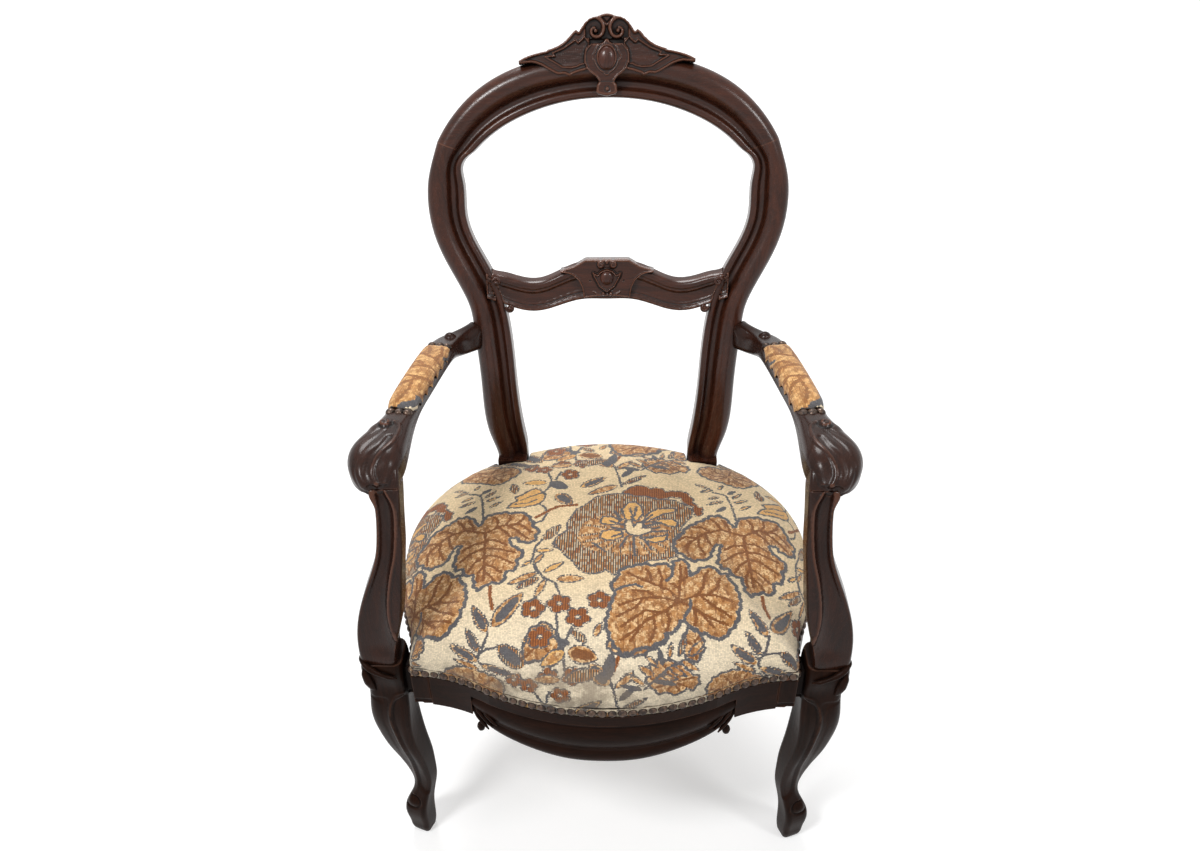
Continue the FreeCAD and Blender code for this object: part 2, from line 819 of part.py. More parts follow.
def nail_places():
    """Seats and outward directions of the seat's nails, evenly spaced round each stretch of the outline."""
    wire = seat_wire(nail_line, rebate - cover_thickness)
    edges = wire.Edges
    rows = []
    for stretch in (edges[-1:] + edges[:2], edges[2:5], edges[5:6], edges[6:9]):
        length = sum(edge.Length for edge in stretch)
        count = round(length / nail_spacing)
        for number in range(count):
            along = (number + 0.5) * length / count
            for edge in stretch:
                if along <= edge.Length:
                    break
                along -= edge.Length
            parameter = edge.getParameterByLength(along)
            tangent = edge.tangentAt(parameter)
            outward = tangent.cross(up)
            rows.append((edge.valueAt(parameter), outward))
    return rows


def seat_nails():
    """Domed nails by row: front, back, left and right, none across the stiles."""
    master = dome(origin, up, nail_diameter, nail_rise)
    inner_edge = block_half_width - block_width / 2 - nail_diameter / 2
    outer_edge = block_half_width + block_width / 2 + nail_diameter / 2
    rows = {"front": [], "back": [], "left": [], "right": []}
    corner_y = seat_place(corner_arc_shares[1], 1, 0, 1)[1]
    for seat, outward in nail_places():
        reach = abs(seat.x)
        if seat.y <= corner_y:
            row = "front"
        elif seat.y > 0 and reach < inner_edge:
            row = "back"
        elif seat.y < 0 or reach > outer_edge:
            row = "right" if seat.x > 0 else "left"
        else:
            continue
        rows[row].append(stud(master, seat, outward))
    return rows


def on_arm(arm, share, across_shift, forward_shift):
    """Seat of a nail on top of the arm, found by dropping a line onto it."""
    centre, across, rise = pad_place(share)
    ahead = rise.cross(across)
    foot = centre + across * across_shift + ahead * forward_shift
    inside = straight(foot + rise * pad_height, foot).common(arm).BoundBox
    lean = rise + across * (across_shift / arm_width)
    lean.normalize()
    return foot + rise * ((inside.ZMax - foot.z) / rise.z), lean


def pad_nails(arm):
    """Nails across both ends of the pad's fabric."""
    master = dome(origin, up, nail_diameter, nail_rise)
    nails = []
    for share, forward_shift in ((0, -pad_nail_setback), (1, pad_nail_setback)):
        for across_shift in (-pad_nail_spacing, 0, pad_nail_spacing):
            seat, lean = on_arm(arm, share, across_shift, forward_shift)
            nails.append(stud(master, seat + lean * soft_clearance, lean))
    return Part.makeCompound(nails)


def webbing():
    """Straps under the rails, front to back and side to side, and the tacks at their ends."""
    master = dome(origin, up, tack_diameter, tack_rise)
    long_low = rail_bottom - webbing_thickness
    cross_low_face = long_low - webbing_thickness
    long_straps = []
    cross_straps = []
    tacks = []
    room = seat_slab(long_low, rail_bottom, webbing_margin)
    front_room = seat_slab(long_low, rail_bottom, rail_thickness + soft_clearance)
    for place in (-webbing_pitch, 0, webbing_pitch):
        low = FreeCAD.Vector(place - webbing_width / 2, 0, long_low)
        high = FreeCAD.Vector(place + webbing_width / 2, 0, rail_bottom)
        rear = box(low, high + back * half_depth)
        fore = box(low - back * half_depth, high)
        strap = rear.common(room).fuse(fore.common(front_room)).removeSplitter()
        long_straps.append(strap)
        ends = strap.BoundBox
        for end_y in (ends.YMin + tack_setback, ends.YMax - tack_setback):
            for step in (-tack_spacing, 0, tack_spacing):
                tacks.append(stud(master, FreeCAD.Vector(place + step, end_y, long_low), up * -1))
    cross_room = seat_slab(cross_low_face, long_low, webbing_margin)
    for row in range(webbing_rows):
        middle = -webbing_front_row + webbing_row_pitch * row
        strap = box(
            FreeCAD.Vector(-half_depth, middle - webbing_width / 2, cross_low_face),
            FreeCAD.Vector(half_depth, middle + webbing_width / 2, long_low),
        ).common(cross_room)
        cross_straps.append(strap)
        ends = strap.BoundBox
        for end_x in (ends.XMin + tack_setback, ends.XMax - tack_setback):
            for step in (-tack_spacing, 0, tack_spacing):
                tacks.append(stud(master, FreeCAD.Vector(end_x, middle + step, cross_low_face), up * -1))
    return long_straps, cross_straps, tacks


# Crest dowels: places along the joint, and how far behind the member's middle
crest_dowel_shares = (0.3, 0.7)
crest_dowel_back_share = 0.15

# Arm button: which of the arm's sections it stands on, plug depth over the arm's thickness and width over
# its own
button_station = 2
plug_depth_share = 0.4
plug_width_share = 0.6
arm_screw_drop_share = 0.4

# Dowels sit inside the rails' thickness, as shares of it
front_dowel_share = 0.48
rear_dowel_share = 0.37

# Where the front block's screw starts along its long face, as a share
block_screw_share = 0.62

# Corner blocks: places round the stile's middle as shares of the block's reach
rear_block_shares = ((-0.68, 0.50), (0.84, -0.54), (0.35, -0.50), (-0.45, -0.15))


def corner_block(points):
    low = (rail_bottom + show_wood_top - corner_block_height) / 2
    corners = [FreeCAD.Vector(x, y, low) for x, y in points]
    prism = Part.Face(Part.makePolygon(corners + [corners[0]])).extrude(up * corner_block_height)
    return prism.common(seat_slab(low, low + corner_block_height, rail_thickness))


def wood_screw(head_seat, direction, length):
    """Screw with a domed head, and the hole for it."""
    way = FreeCAD.Vector(direction)
    way.normalize()
    shank = Part.makeCylinder(screw_diameter / 2, length, head_seat, way)
    head = dome(head_seat, way * -1, screw_head, screw_head_rise)
    hole = Part.makeCylinder(screw_diameter / 2 + fit_clearance, length + fit_clearance, head_seat, way)
    return shank.fuse(head).removeSplitter(), hole


# Assemble: each timber is cut to its neighbours, so that joints meet face to face
def build():
    nodes = {}

    stile = right_stile()
    crest = crest_rail()
    support, arm_root = right_support()
    leg = right_front_leg()

    # Seat rails from one ring
    frame_box_high = seat_rail_top + overrun
    front_box = box(
        FreeCAD.Vector(-post_inner, -half_depth - overrun, rail_bottom - overrun),
        FreeCAD.Vector(post_inner, post_back, frame_box_high),
    )
    side_box = box(
        FreeCAD.Vector(block_half_width + block_width / 2, post_back, rail_bottom - overrun),
        FreeCAD.Vector(half_depth, half_depth, frame_box_high),
    )
    back_box = box(
        FreeCAD.Vector(-block_half_width + block_width / 2, 0, rail_bottom - overrun),
        FreeCAD.Vector(block_half_width - block_width / 2, half_depth, frame_box_high),
    )
    ring = seat_ring(rail_bottom)
    side = ring.common(side_box)
    back_rail = ring.common(back_box)
    band_box = box(
        FreeCAD.Vector(-post_inner, -half_depth - overrun, apron_top),
        FreeCAD.Vector(post_inner, post_back, frame_box_high),
    )
    end_low = apron_low + apron_edge_shares[-1][1] * (apron_top - apron_low)
    front_band = ring.common(band_box)
    rail_ends = ring.common(front_box).cut(box(
        FreeCAD.Vector(-apron_half_length, -half_depth - overrun, end_low - overrun),
        FreeCAD.Vector(apron_half_length, 0, frame_box_high),
    ))
    front_rail = front_band.fuse([rail_ends, apron()]).removeSplitter()

    # Arms meet the stile and stand on the supports
    arm = right_arm().fuse(arm_root).removeSplitter().cut(stile)
    arm = max(arm.Solids, key=lambda solid: solid.Volume)
    support = support.cut(arm)
    support = max(support.Solids, key=lambda solid: solid.Volume)
    pad_outer = pad_form(0)
    pad_inner = pad_form(cover_thickness)
    pad_stuffing = pad_inner.cut([arm, pad_under(-pad_ledge)])
    pad_cover = pad_outer.cut([pad_stuffing, arm, pad_under(pad_wrap)])

    cross = cross_rail().cut([stile, mirrored(stile)])
    cross = max(cross.Solids, key=lambda solid: solid.Volume)
    plate = cross_plate().cut(cross)
    plate = max(plate.Solids, key=lambda solid: solid.Volume)
    carving = carving_solid().cut(crest)
    carving = max(carving.Solids, key=lambda solid: solid.Volume)

    # Dowels and screws, with their holes
    def dowel_pair(places, direction, length=dowel_length):
        pegs = [rod(place, direction, dowel_diameter, length) for place in places]
        room = fit_clearance * 2
        holes = [rod(place, direction, dowel_diameter + room, length + room) for place in places]
        return pegs, holes

    outer, inner = crest_pair(crest_shares[0])
    joint_places = []
    for share in crest_dowel_shares:
        x = outer[0] + (inner[0] - outer[0]) * share
        height = outer[1] + (inner[1] - outer[1]) * share
        joint_places.append(on_back(x, height, -member_depth * crest_dowel_back_share))
    joint_way = FreeCAD.Vector(outer[1] - inner[1], lean_slope * (inner[0] - outer[0]), inner[0] - outer[0])
    crest_pegs, crest_holes = dowel_pair(joint_places, joint_way, crest_dowel_length)

    cross_end = cross_height((cross_shares[-2][1] + cross_shares[-2][2]) / 2)
    stile_inner_x = cross_shares[-2][0] * cross_reach + cross_dowel_setback
    cross_places = [FreeCAD.Vector(stile_inner_x, cross_y(cross_shares[-2][0], cross_end), cross_end)]
    cross_pegs, cross_holes = dowel_pair(cross_places, right, cross_dowel_length)

    hand_peg_place = FreeCAD.Vector(
        support_half_width * support_joint_share, -support_front + support_setback, support_top
    )
    hand_pegs, hand_holes = dowel_pair([hand_peg_place], up, hand_dowel_length)

    foot_peg_place = FreeCAD.Vector(leg_half_width, -leg_front, leg_top)
    foot_pegs, foot_holes = dowel_pair([foot_peg_place], up)

    rail_middle = (rail_bottom + show_wood_top) / 2
    rail_levels = (rail_middle - dowel_diameter, rail_middle + dowel_diameter)
    front_dowel_y = seat_place(corner_arc_shares[1], 1, 0, 1)[1] + rail_thickness * front_dowel_share
    front_pegs, front_holes = dowel_pair(
        [FreeCAD.Vector(post_inner, front_dowel_y, level) for level in rail_levels], right
    )
    side_x = seat_place(post_line_shares, 1, rail_thickness / 2, 1)[0]
    side_pegs, side_holes = dowel_pair(
        [FreeCAD.Vector(side_x, post_back, level) for level in rail_levels], back
    )
    stile_x = block_half_width + block_width / 2
    hip_y = stile_middle - rail_thickness * rear_dowel_share
    rear_pegs, rear_holes = dowel_pair(
        [FreeCAD.Vector(stile_x, hip_y, level) for level in rail_levels], right, rail_dowel_length
    )
    back_y = stile_middle + rail_thickness * rear_dowel_share
    back_pegs, back_holes = dowel_pair(
        [FreeCAD.Vector(block_half_width - block_width / 2, back_y, level) for level in rail_levels],
        right, rail_dowel_length
    )

    # Button over the screw that holds the arm to the stile
    button_centre, _, button_thickness = arm_stations()[button_station]
    button_up = section_frame([station[0] for station in arm_stations()], button_station)[1]
    button_seat = button_centre + button_up * (button_thickness / 2)
    plug_depth = button_thickness * plug_depth_share
    plug_diameter = button_diameter * plug_width_share
    plug = Part.makeCylinder(plug_diameter / 2, plug_depth, button_seat - button_up * plug_depth, button_up)
    button = dome(button_seat, button_up, button_diameter, button_rise).fuse(plug).removeSplitter()
    button_hole = Part.makeCylinder(
        plug_diameter / 2 + fit_clearance, plug_depth + fit_clearance + overrun,
        button_seat - button_up * (plug_depth + fit_clearance), button_up
    )
    arm = arm.cut([button_hole, button])
    screw_start = button_seat - button_up * (plug_depth + screw_sink)
    screw_target = FreeCAD.Vector(
        back_outer_x(screw_start.z) - member_width / 2,
        lean_y(screw_start.z),
        screw_start.z - arm_thickness * arm_screw_drop_share,
    )
    arm_screw, arm_screw_hole = wood_screw(screw_start, screw_target - screw_start, arm_screw_length)
    head_room = Part.makeCylinder(
        screw_head / 2 + fit_clearance, screw_head_rise + fit_clearance,
        screw_start, screw_start - screw_target
    )
    arm = arm.cut([arm_screw_hole, head_room])

    nodes["crest_rail"] = crest.cut(crest_holes + [mirrored(hole) for hole in crest_holes])
    stile_holes = crest_holes + cross_holes + rear_holes + back_holes + [arm_screw_hole]

    # Corner blocks and their screws
    front_corner = seat_place(corner_arc_shares[1], 1, 0, 1)
    reach = corner_block_reach
    corner_x, corner_y = front_corner
    front_points = [front_corner, (corner_x - reach, corner_y), (corner_x, corner_y + reach)]
    front_block = corner_block(front_points).cut(leg)
    rear_points = [
        (block_half_width + x * reach, stile_middle + y * reach) for x, y in rear_block_shares
    ]
    rear_block = corner_block(rear_points).cut(stile)
    front_seat = FreeCAD.Vector(
        corner_x - reach * (1 - block_screw_share), corner_y + reach * block_screw_share, rail_middle
    )
    front_screw, front_screw_hole = wood_screw(front_seat, FreeCAD.Vector(1, -1, 0), screw_length)
    inner_points = rear_points[2:]
    (first_x, first_y), (second_x, second_y) = inner_points
    rear_seat = FreeCAD.Vector((first_x + second_x) / 2, (first_y + second_y) / 2, rail_middle)
    rear_way = FreeCAD.Vector(second_y - first_y, first_x - second_x, 0)
    rear_screw, rear_screw_hole = wood_screw(rear_seat, rear_way, screw_length)
    front_block = front_block.cut(front_screw_hole)
    rear_block = rear_block.cut(rear_screw_hole)
    blocks = [front_block, rear_block]
    nodes["corner_blocks"] = Part.makeCompound(blocks + [mirrored(block) for block in blocks])
    block_screws = [front_screw, rear_screw]
    nodes["corner_block_screws"] = Part.makeCompound(
        block_screws + [mirrored(screw) for screw in block_screws]
    )

    nodes["right_stile"] = stile.cut(stile_holes + [rear_screw_hole])
    nodes["left_stile"] = mirrored(nodes["right_stile"])
    nodes["crest_dowels"] = Part.makeCompound(crest_pegs + [mirrored(peg) for peg in crest_pegs])
    nodes["crest_carving"] = carving
    face = carving_depth - carving_back
    scroll_height_place = carving_low + (crest_top - carving_low) * scroll_place_shares[1]
    scroll_x = scroll_place_shares[0] * carving_half_width
    scroll_place = on_back(scroll_x, scroll_height_place, face)
    scroll = dome(scroll_place, lean_front(scroll_height_place), scroll_radius * 2, scroll_height)
    nodes["crest_scrolls"] = Part.makeCompound([scroll, mirrored(scroll)])
    cabochon_level = carving_low + (crest_top - carving_low) * cabochon_place_share
    nodes["crest_cabochon"] = oval_dome(
        on_back(0, cabochon_level, face), lean_front(cabochon_level),
        cabochon_width, cabochon_height, cabochon_rise
    )
    nodes["cross_rail"] = cross.cut(cross_holes + [mirrored(hole) for hole in cross_holes])
    nodes["cross_rail_dowels"] = Part.makeCompound(cross_pegs + [mirrored(peg) for peg in cross_pegs])
    nodes["cross_rail_plate"] = plate
    nodes["cross_rail_cabochon"] = oval_dome(
        plate_point(0, plate_boss_share, cross_depth / 2 + plate_thickness), plate_front(),
        cross_cabochon_width, cross_cabochon_height, cross_cabochon_rise
    )

    nodes["right_arm"] = arm.cut(hand_holes)
    nodes["right_arm_support"] = support.cut(hand_holes + foot_holes)
    nodes["right_front_leg"] = leg.cut(foot_holes + front_holes + side_holes + [front_screw_hole])
    nodes["right_arm_button"] = button
    nodes["right_arm_pad_cover"] = pad_cover
    nodes["right_arm_pad_stuffing"] = pad_stuffing
    side = side.cut([stile, leg])
    side = max(side.Solids, key=lambda solid: solid.Volume)
    nodes["right_side_rail"] = side.cut(side_holes + rear_holes)
    paired = (
        "arm", "arm_support", "front_leg", "arm_button", "arm_pad_cover", "arm_pad_stuffing", "side_rail",
    )
    for name in paired:
        nodes["left_" + name] = mirrored(nodes["right_" + name])
    nodes["hand_dowels"] = Part.makeCompound(hand_pegs + [mirrored(peg) for peg in hand_pegs])
    nodes["support_dowels"] = Part.makeCompound(foot_pegs + [mirrored(peg) for peg in foot_pegs])

    nodes["front_rail"] = front_rail.cut(front_holes + [mirrored(hole) for hole in front_holes])
    back_rail = back_rail.cut([stile, mirrored(stile)])
    nodes["back_rail"] = back_rail.cut(back_holes + [mirrored(hole) for hole in back_holes])
    seat_pegs = front_pegs + side_pegs + rear_pegs + back_pegs
    nodes["seat_rail_dowels"] = Part.makeCompound(seat_pegs + [mirrored(peg) for peg in seat_pegs])
    nodes["arm_screws"] = Part.makeCompound([arm_screw, mirrored(arm_screw)])
    nails = pad_nails(nodes["right_arm"])
    nodes["right_arm_pad_nails"] = nails
    nodes["left_arm_pad_nails"] = mirrored(nails)

    # Upholstery, clear of the stiles that pass through it
    slot = box(
        FreeCAD.Vector(block_half_width - block_width / 2, stile_middle - block_depth / 2, rail_bottom)
        - FreeCAD.Vector(slot_room, soft_clearance, 0),
        FreeCAD.Vector(block_half_width + block_width / 2 + slot_room, half_depth, seat_crown + overrun),
    )
    slots = [slot, mirrored(slot)]
    skin_inset = rebate - cover_thickness
    inner_form = seat_form(rebate, cover_thickness)
    nodes["seat_cover"] = seat_form(skin_inset, 0).cut([inner_form] + slots)
    hessian_top = seat_rail_top + hessian_thickness
    below = box(
        FreeCAD.Vector(-half_depth, -half_depth, show_wood_top - overrun),
        FreeCAD.Vector(half_depth, half_depth, hessian_top),
    )
    nodes["seat_stuffing"] = inner_form.cut([below] + slots)
    hessian = seat_slab(seat_rail_top, hessian_top, webbing_margin)
    nodes["spring_hessian"] = hessian.cut(slots)

    batten_top = rail_bottom + batten_height
    batten_inside = rail_thickness + batten_width
    batten = seat_slab(rail_bottom, batten_top, rail_thickness)
    batten = batten.cut(seat_slab(rail_bottom - overrun, batten_top + overrun, batten_inside))
    nodes["webbing_batten"] = batten.common(box(
        FreeCAD.Vector(-batten_half_length, -half_depth, rail_bottom),
        FreeCAD.Vector(batten_half_length, seat_middle, batten_top),
    ))
    long_straps, cross_straps, tacks = webbing()
    nodes["webbing_long"] = Part.makeCompound(long_straps)
    nodes["webbing_cross"] = Part.makeCompound(cross_straps)
    nodes["webbing_tacks"] = Part.makeCompound(tacks)

    rows = [-webbing_front_row + webbing_row_pitch * row for row in range(webbing_rows)]
    places = [(-webbing_pitch, rows[0]), (webbing_pitch, rows[0]), (0, rows[1])]
    places += [(-webbing_pitch, rows[2]), (webbing_pitch, rows[2])]
    coil, gap = spring(origin, rail_bottom, seat_rail_top)
    coils = []
    for x, y in places:
        copy = coil.copy()
        copy.translate(FreeCAD.Vector(x, y, 0))
        coils.append(copy)
    nodes["seat_springs"] = Part.makeCompound(coils)
    print("least gap between spring turns", round(gap, 2), "mm")

    for row, nails in seat_nails().items():
        nodes["seat_nails_" + row] = Part.makeCompound(nails)
    return nodes


os.makedirs("parts", exist_ok=True)
nodes = build()
for name, shape in nodes.items():
    shape.exportStep("parts/" + name + ".step")
    print(name, len(shape.Solids), shape.isValid(), round(shape.Volume / 1000, 1))
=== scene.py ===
import bmesh
import bpy
import numpy as np
from mathutils import Matrix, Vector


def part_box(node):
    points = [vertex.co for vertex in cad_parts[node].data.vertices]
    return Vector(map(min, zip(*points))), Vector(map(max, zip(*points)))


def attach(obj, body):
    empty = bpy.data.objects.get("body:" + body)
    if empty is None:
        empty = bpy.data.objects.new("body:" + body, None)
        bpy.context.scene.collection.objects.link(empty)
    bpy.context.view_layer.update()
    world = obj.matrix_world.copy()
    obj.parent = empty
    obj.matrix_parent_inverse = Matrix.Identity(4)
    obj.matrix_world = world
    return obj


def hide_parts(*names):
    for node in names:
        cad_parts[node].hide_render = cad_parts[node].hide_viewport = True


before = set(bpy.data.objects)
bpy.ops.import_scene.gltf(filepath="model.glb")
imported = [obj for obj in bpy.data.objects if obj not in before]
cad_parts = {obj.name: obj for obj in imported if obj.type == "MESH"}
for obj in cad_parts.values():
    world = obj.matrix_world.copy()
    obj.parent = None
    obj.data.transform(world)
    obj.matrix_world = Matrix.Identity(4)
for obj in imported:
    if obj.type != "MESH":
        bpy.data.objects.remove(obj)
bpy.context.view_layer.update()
print("frame loaded,", len(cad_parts), "nodes")


# the camera stands where the photographer stood
viewPoint = {
    "place": (0.02177, -1.1312, 1.3693),  # metres
    "tilt": 0.7222,  # radians down from level
    "yaw": 0.0568,
    "roll": -0.0315,
    "focal": 31.37,  # millimetres on a 36 mm wide frame
    "shift": (0.0195, 0.1052),
}


def setCamera(v):
    # level directions turned by tilt, then yaw about the vertical, then roll about the line of sight
    forward = np.array([0, np.cos(v["tilt"]), -np.sin(v["tilt"])])
    upward = np.array([0, np.sin(v["tilt"]), np.cos(v["tilt"])])
    sideways = np.array([1.0, 0, 0])
    c, s = np.cos(v["yaw"]), np.sin(v["yaw"])
    turn = np.array([[c, -s, 0], [s, c, 0], [0, 0, 1]])
    forward, upward, sideways = turn @ forward, turn @ upward, turn @ sideways
    c, s = np.cos(v["roll"]), np.sin(v["roll"])
    rolledSide, rolledUp = c * sideways + s * upward, c * upward - s * sideways
    data = bpy.data.cameras.new("camera")
    data.sensor_width = 36
    data.lens = v["focal"]
    data.shift_x, data.shift_y = v["shift"]
    data.clip_start, data.clip_end = 0.02, 60
    camera = bpy.data.objects.new("camera", data)
    bpy.context.collection.objects.link(camera)
    columns = np.eye(4)
    columns[:3] = np.column_stack([rolledSide, rolledUp, -forward, v["place"]])
    camera.matrix_world = Matrix(columns.tolist())
    bpy.context.scene.camera = camera


setCamera(viewPoint)
bpy.context.scene.view_settings.view_transform = "Standard"


# node helpers: a node with its sockets filled, and a group with named sockets
def addNode(tree, kind, feeds=None, **settings):
    node = tree.nodes.new(kind)
    for key, value in settings.items():
        setattr(node, key, value)
    for key, value in (feeds or {}).items():
        if isinstance(value, bpy.types.NodeSocket):
            tree.links.new(value, node.inputs[key])
        else:
            node.inputs[key].default_value = value
    return node


def newGroup(name, takes, gives):
    group = bpy.data.node_groups.new(name, "ShaderNodeTree")
    kinds = {"number": "NodeSocketFloat", "colour": "NodeSocketColor", "vector": "NodeSocketVector"}
    for label, kind in takes.items():
        group.interface.new_socket(label, in_out="INPUT", socket_type=kinds[kind])
    for label, kind in gives.items():
        group.interface.new_socket(label, in_out="OUTPUT", socket_type=kinds[kind])
    return group, group.nodes.new("NodeGroupInput").outputs, group.nodes.new("NodeGroupOutput").inputs


def useGroup(tree, group, feeds):
    node = tree.nodes.new("ShaderNodeGroup")
    node.node_tree = group
    for key, value in feeds.items():
        if isinstance(value, bpy.types.NodeSocket):
            tree.links.new(value, node.inputs[key])
        else:
            node.inputs[key].default_value = value
    return node.outputs


def mathNode(tree, operation, first, second=0.0, third=0.0, clamp=False):
    feeds = {0: first, 1: second, 2: third}
    return addNode(tree, "ShaderNodeMath", feeds, operation=operation, use_clamp=clamp).outputs[0]


def mixColour(tree, share, first, second, blend="MIX"):
    node = addNode(tree, "ShaderNodeMix", {"Factor": share}, data_type="RGBA", blend_type=blend)
    for socket, value in ((node.inputs[6], first), (node.inputs[7], second)):
        if isinstance(value, bpy.types.NodeSocket):
            tree.links.new(value, socket)
        else:
            socket.default_value = value
    return node.outputs[2]


def ranged(tree, value, low, high, toLow=0.0, toHigh=1.0, smooth=True):
    return addNode(tree, "ShaderNodeMapRange", {
        "Value": value, "From Min": low, "From Max": high, "To Min": toLow, "To Max": toHigh,
    }, interpolation_type="SMOOTHSTEP" if smooth else "LINEAR", clamp=True).outputs[0]


def newMaterial(name):
    material = bpy.data.materials.new(name)
    material.use_nodes = True
    tree = material.node_tree
    tree.nodes.clear()
    shader = tree.nodes.new("ShaderNodeBsdfPrincipled")
    out = tree.nodes.new("ShaderNodeOutputMaterial")
    tree.links.new(shader.outputs[0], out.inputs["Surface"])
    return material, tree, shader


def rgb(red, green, blue):
    # a colour picked on screen, 0 to 255, as the linear value that the shader wants
    c = np.array([red, green, blue]) / 255
    return tuple(np.where(c <= 0.04045, c / 12.92, ((c + 0.055) / 1.055) ** 2.4).tolist()) + (1.0,)


def noiseNode(tree, place, scale, detail, roughness=0.5):
    feeds = {"Vector": place, "Scale": scale, "Detail": detail, "Roughness": roughness}
    return addNode(tree, "ShaderNodeTexNoise", feeds)


# wood: figure along the grain, pores, wear on edges, and old wax with painted shade in corners
def makeWoodFigure():
    group, take, give = newGroup("woodFigure", {
        "Place": "vector", "Dark": "colour", "Light": "colour", "Streaks": "number",
    }, {"Color": "colour", "Roughness": "number", "Height": "number"})
    bend = noiseNode(group, take["Place"], 0.7, 2.0)
    offset = addNode(group, "ShaderNodeVectorMath", {0: bend.outputs["Color"], 1: (0.5, 0.5, 0.5)},
                     operation="SUBTRACT")
    feeds = {0: offset.outputs[0], 1: (1.4, 1.4, 1.4), 2: take["Place"]}
    bent = addNode(group, "ShaderNodeVectorMath", feeds, operation="MULTIPLY_ADD")
    broad = noiseNode(group, bent.outputs[0], 1.3, 5.0, 0.6)
    fine = noiseNode(group, bent.outputs[0], 7.0, 6.0, 0.65)
    pores = noiseNode(group, bent.outputs[0], 26.0, 2.0)
    figure = mathNode(group, "MULTIPLY_ADD", ranged(group, fine.outputs[0], 0.35, 0.68), 0.45,
                      mathNode(group, "MULTIPLY", ranged(group, broad.outputs[0], 0.32, 0.68), 0.55))
    streaked = mathNode(group, "MULTIPLY", figure, take["Streaks"])
    pore = ranged(group, pores.outputs[0], 0.60, 0.72)
    colour = mixColour(group, streaked, take["Dark"], take["Light"])
    colour = mixColour(group, mathNode(group, "MULTIPLY", pore, 0.25), colour, (0.006, 0.003, 0.002, 1.0))
    group.links.new(colour, give["Color"])
    dull = mathNode(group, "MULTIPLY_ADD", fine.outputs[0], 0.16, mathNode(group, "MULTIPLY", pore, 0.12))
    group.links.new(dull, give["Roughness"])
    grain = mathNode(group, "MULTIPLY", fine.outputs[0], 0.35)
    group.links.new(mathNode(group, "MULTIPLY_ADD", pore, -0.5, grain), give["Height"])
    return group


def makeEdgeWear():
    # how far the rounded normal leans from the true one is large only at edges; patchy noise breaks it up
    group, take, give = newGroup("edgeWear", {"Radius": "number", "Amount": "number"}, {"Mask": "number"})
    rounded = addNode(group, "ShaderNodeBevel", {"Radius": take["Radius"]}, samples=4)
    surface = group.nodes.new("ShaderNodeNewGeometry")
    alike = addNode(group, "ShaderNodeVectorMath", {0: rounded.outputs[0], 1: surface.outputs["Normal"]},
                    operation="DOT_PRODUCT")
    away = mathNode(group, "SUBTRACT", 1.0, alike.outputs["Value"])
    place = group.nodes.new("ShaderNodeTexCoord")
    patches = noiseNode(group, place.outputs["Object"], 42.0, 4.0)
    broken = ranged(group, patches.outputs[0], 0.36, 0.60)
    wearAndPaintedLight = mathNode(group, "MULTIPLY", ranged(group, away, 0.02, 0.16), broken)
    group.links.new(mathNode(group, "MULTIPLY", wearAndPaintedLight, take["Amount"]), give["Mask"])
    return group


def makeCornerDirtAndShade():
    # dark wax and dust, with painted shade, where little light reaches: a mask of low ambient occlusion that
    # darkens the colour
    group, take, give = newGroup("cornerDirtAndShade", {"Reach": "number", "Amount": "number"}, {"Mask": "number"})
    openness = addNode(group, "ShaderNodeAmbientOcclusion", {"Distance": take["Reach"]}, samples=4)
    shut = ranged(group, openness.outputs["AO"], 0.35, 0.85, 1.0, 0.0)
    group.links.new(mathNode(group, "MULTIPLY", shut, take["Amount"]), give["Mask"])
    return group


woodFigure = makeWoodFigure()
edgeWear = makeEdgeWear()
cornerDirtAndShade = makeCornerDirtAndShade()

walnut = {
    "dark": rgb(42, 19, 10),
    "light": rgb(84, 42, 25),
    # the colour of rubbed edges, and of the painted highlight on carved beads
    "wearAndPaintedLight": rgb(122, 78, 58),
    # the colour of old wax and of painted shade in corners and grooves
    "waxAndShade": rgb(8, 4, 3),
    "roughness": 0.25,
    "bump": 0.16,
    "shine": 0.32,  # specular level
    "rubbed": 0.0022,  # metres of an edge that are worn pale
    # how far from a corner the old wax and the painted shade reach
    "waxAndShadeReach": (0.005, 0.022),  # metres from a corner, in narrow and in wide hollows
}


